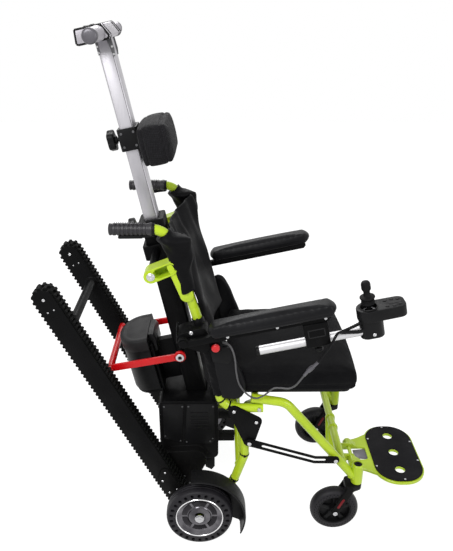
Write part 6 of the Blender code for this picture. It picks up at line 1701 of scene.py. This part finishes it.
def eased(share):
    share = min(max(share, 0.0), 1.0)
    return share * share * (3 - 2 * share)


def slingEdge(z):
    s = slingSet
    return s["lowHalf"] + (s["half"] - s["lowHalf"]) * eased((z - s["step"]) / 0.06)


def slingFold(b, z):
    # folds that fan out from the tubes, and slack creases under the top edge
    fan = math.sin(17.0 * b + 30.0 * z * b) * (0.3 + abs(b)) * 0.002
    slack = math.sin(40.0 * z + 9.0 * b * b) * max(0.0, 1 - (b / 0.8) ** 2) * 0.0022
    near = math.exp(-((z - 0.175) / 0.055) ** 2)
    return fan + slack + near * (math.sin(23.0 * b + 1.0) + 0.5 * math.sin(41.0 * b)) * 0.0028


def slingSpot(b, c, face):
    s = slingSet
    top = s["top"] - s["droop"] * max(0.0, 1 - (b / 0.86) ** 2)
    z = s["low"] + c * (top - s["low"])
    bowl = (s["sag"] + s["topSag"] * eased((z - 0.11) / 0.08)) * max(0.0, 1 - (b / s["span"]) ** 2)
    rim = min(min(c, 1 - c) * (top - s["low"]), (1 - abs(b)) * s["half"])
    thick = s["thick"] * math.sqrt(max(0.0, 1 - (1 - min(rim / 0.01, 1.0)) ** 2)) + 0.0006
    puff = s["puff"] * math.exp(-((z - 0.19) / 0.05) ** 2) * b * b
    low, high = s["curl"]
    curl = max(0.0, (abs(b) - 0.78) / 0.22) ** 2 * (low + (high - low) * eased(z / 0.06))
    x = s["front"] - s["thick"] / 2 - bowl + puff - curl + slingFold(b, z) + (0.5 - face) * thick
    return Vector((x, slingEdge(z) * b, z))


def makeSling():
    s = slingSet
    bm = bmesh.new()
    bmesh.ops.create_grid(bm, x_segments=s["across"], y_segments=s["up"], size=1.0)
    extruded(bm, bm.faces[:], 1.0)
    for v in bm.verts:
        v.co = slingSpot(v.co.x, (v.co.y + 1) / 2, v.co.z)
    moved(bm, backAxes)
    sleeves = []
    for _, side in sides:
        route = backRoute(side * frameSet["y"])
        start = Vector((backX(s["sleeveLow"]), side * frameSet["y"], s["sleeveLow"]))
        stretch = [start + (route[1] - start) * i / 40 for i in range(40)] + route[1:s["sleeveEnd"]]
        sleeve = tube(stretch, s["sleeveR"], 40)
        sleeve.normal_update()
        hem, top = route[1].z, stretch[-1].z
        for v in sleeve.verts:
            around = math.atan2(v.co.y - side * frameSet["y"], v.co.x - backX(v.co.z))
            ruck = math.sin(75.0 * v.co.z + 2.0 * around) * 0.0012
            ruck += math.sin(130.0 * v.co.z - 3.0 * around) * 0.0008
            rise = min(max((v.co.z - hem + 0.04) / 0.05, 0.0), 1.0)
            close = min(max((v.co.z - top + 0.014) / 0.014, 0.0), 1.0)
            fold = math.sin(4.0 * around + 60.0 * v.co.z) * 0.0024 * rise
            v.co += v.normal * (ruck + (fold + s["flare"] * rise * rise)
                                * (1 - close) - 0.0045 * close * close)
            lap = s["lap"] * max(0.0, math.cos(around)) * eased((v.co.z - 0.87) / 0.08)
            v.co.x += lap * (1 - close)
        sleeves.append(moved(sleeve, toPart))
    keepPadded(joined(bm, *sleeves), "backUpholstery", "sleeveCloth", "chair",
               ["back_upholstery"])


# black cloth sleeves on the lower back tubes, and the bolsters beside the seat
lowerSet = {"fromZ": 0.664, "toZ": 0.506, "radius": 0.0168,
            "bolster": ((0.07, 0.496), (0.112, 0.493), (0.132, 0.508), (0.137, 0.54), (0.128, 0.576),
                        (0.112, 0.614), (0.098, 0.65),
                        (0.078, 0.686), (0.056, 0.694), (0.042, 0.676), (0.044, 0.62), (0.054, 0.55)),
            "bolsterY": (0.206, 0.229), "bolsterFill": 0.8,
            "skirtX": (0.022, 0.05), "skirtZ": (0.64, 0.5), "skirtHalf": 0.19,
            "skirtThick": 0.0022, "skirtBelly": 0.034}


def makeSkirt():
    # a flap of the back's cloth that hangs behind the seat, between the lower tubes
    s = lowerSet
    bm = bmesh.new()
    bmesh.ops.create_grid(bm, x_segments=48, y_segments=24, size=1.0)
    for v in bm.verts:
        a, b = v.co.x, (1 - v.co.y) / 2
        fold = (math.sin(11.0 * a) + 0.6 * math.sin(23.0 * a + 1.0)) * 0.002 * b
        x = s["skirtX"][0] + (s["skirtX"][1] - s["skirtX"][0]) * b - s["skirtBelly"] * (1 - a ** 4) + fold
        v.co = at(x, s["skirtHalf"] * a, s["skirtZ"][0] + (s["skirtZ"][1] - s["skirtZ"][0]) * b)
    area = sum(face.calc_area() for face in bm.faces)
    bmesh.ops.recalc_face_normals(bm, faces=bm.faces[:])
    bmesh.ops.solidify(bm, geom=bm.faces[:], thickness=s["skirtThick"])
    piece = keepPiece(bm, "backSkirt", "sleeveCloth", "chair", smooth=softSet["shading"])


def makeBolster(label, side):
    s = lowerSet
    loop = [(x, 0.0, z) for x, z in s["bolster"] + s["bolster"][:1]]
    outline = [(p.x, p.z) for p in smoothRoute(loop, 5)[:-1]]
    bm = slab(outline, *sorted(side * y for y in s["bolsterY"]), edge=0.0095, segments=5)
    bmesh.ops.recalc_face_normals(bm, faces=bm.faces[:])
    bm.normal_update()
    for v in bm.verts:
        v.co += v.normal * 0.0006 * math.sin(90.0 * v.co.z + 70.0 * v.co.x)
    keepPadded(moved(bm, toPart), "bolster_" + label, "padVinyl", "chair")


def makeLowerSleeves():
    s = lowerSet
    parts = []
    first, last = (Vector((x, 0.0, z)) for x, z in frameSet["lowerBack"][:2])
    for _, side in sides:
        points = []
        for i in range(44):
            z = s["fromZ"] + (s["toZ"] - s["fromZ"]) * i / 43
            share = (z - first.z) / (last.z - first.z)
            points.append((first.x + share * (last.x - first.x), side * frameSet["y"], z))
        sleeve = tube(points, s["radius"], 30)
        sleeve.normal_update()
        for v in sleeve.verts:
            v.co += v.normal * (math.sin(170.0 * v.co.z + 260.0 * v.co.x) * 0.0009
                                + math.sin(420.0 * v.co.z) * 0.0004)
        parts.append(sleeve)
    keepParts(parts, toPart, "lowerSleeves", "sleeveCloth", "chair", smooth=softSet["shading"])


makeSeat()
makeHeadrest()
for label, _ in sides:
    makeArmPad(label)
makeSling()
makeLowerSleeves()
for label, side in sides:
    makeBolster(label, side)
makeSkirt()
print("soft goods made")

keepSoftened("seat_pan", "seatPan", "blackPlastic", "chair", 0.0015)
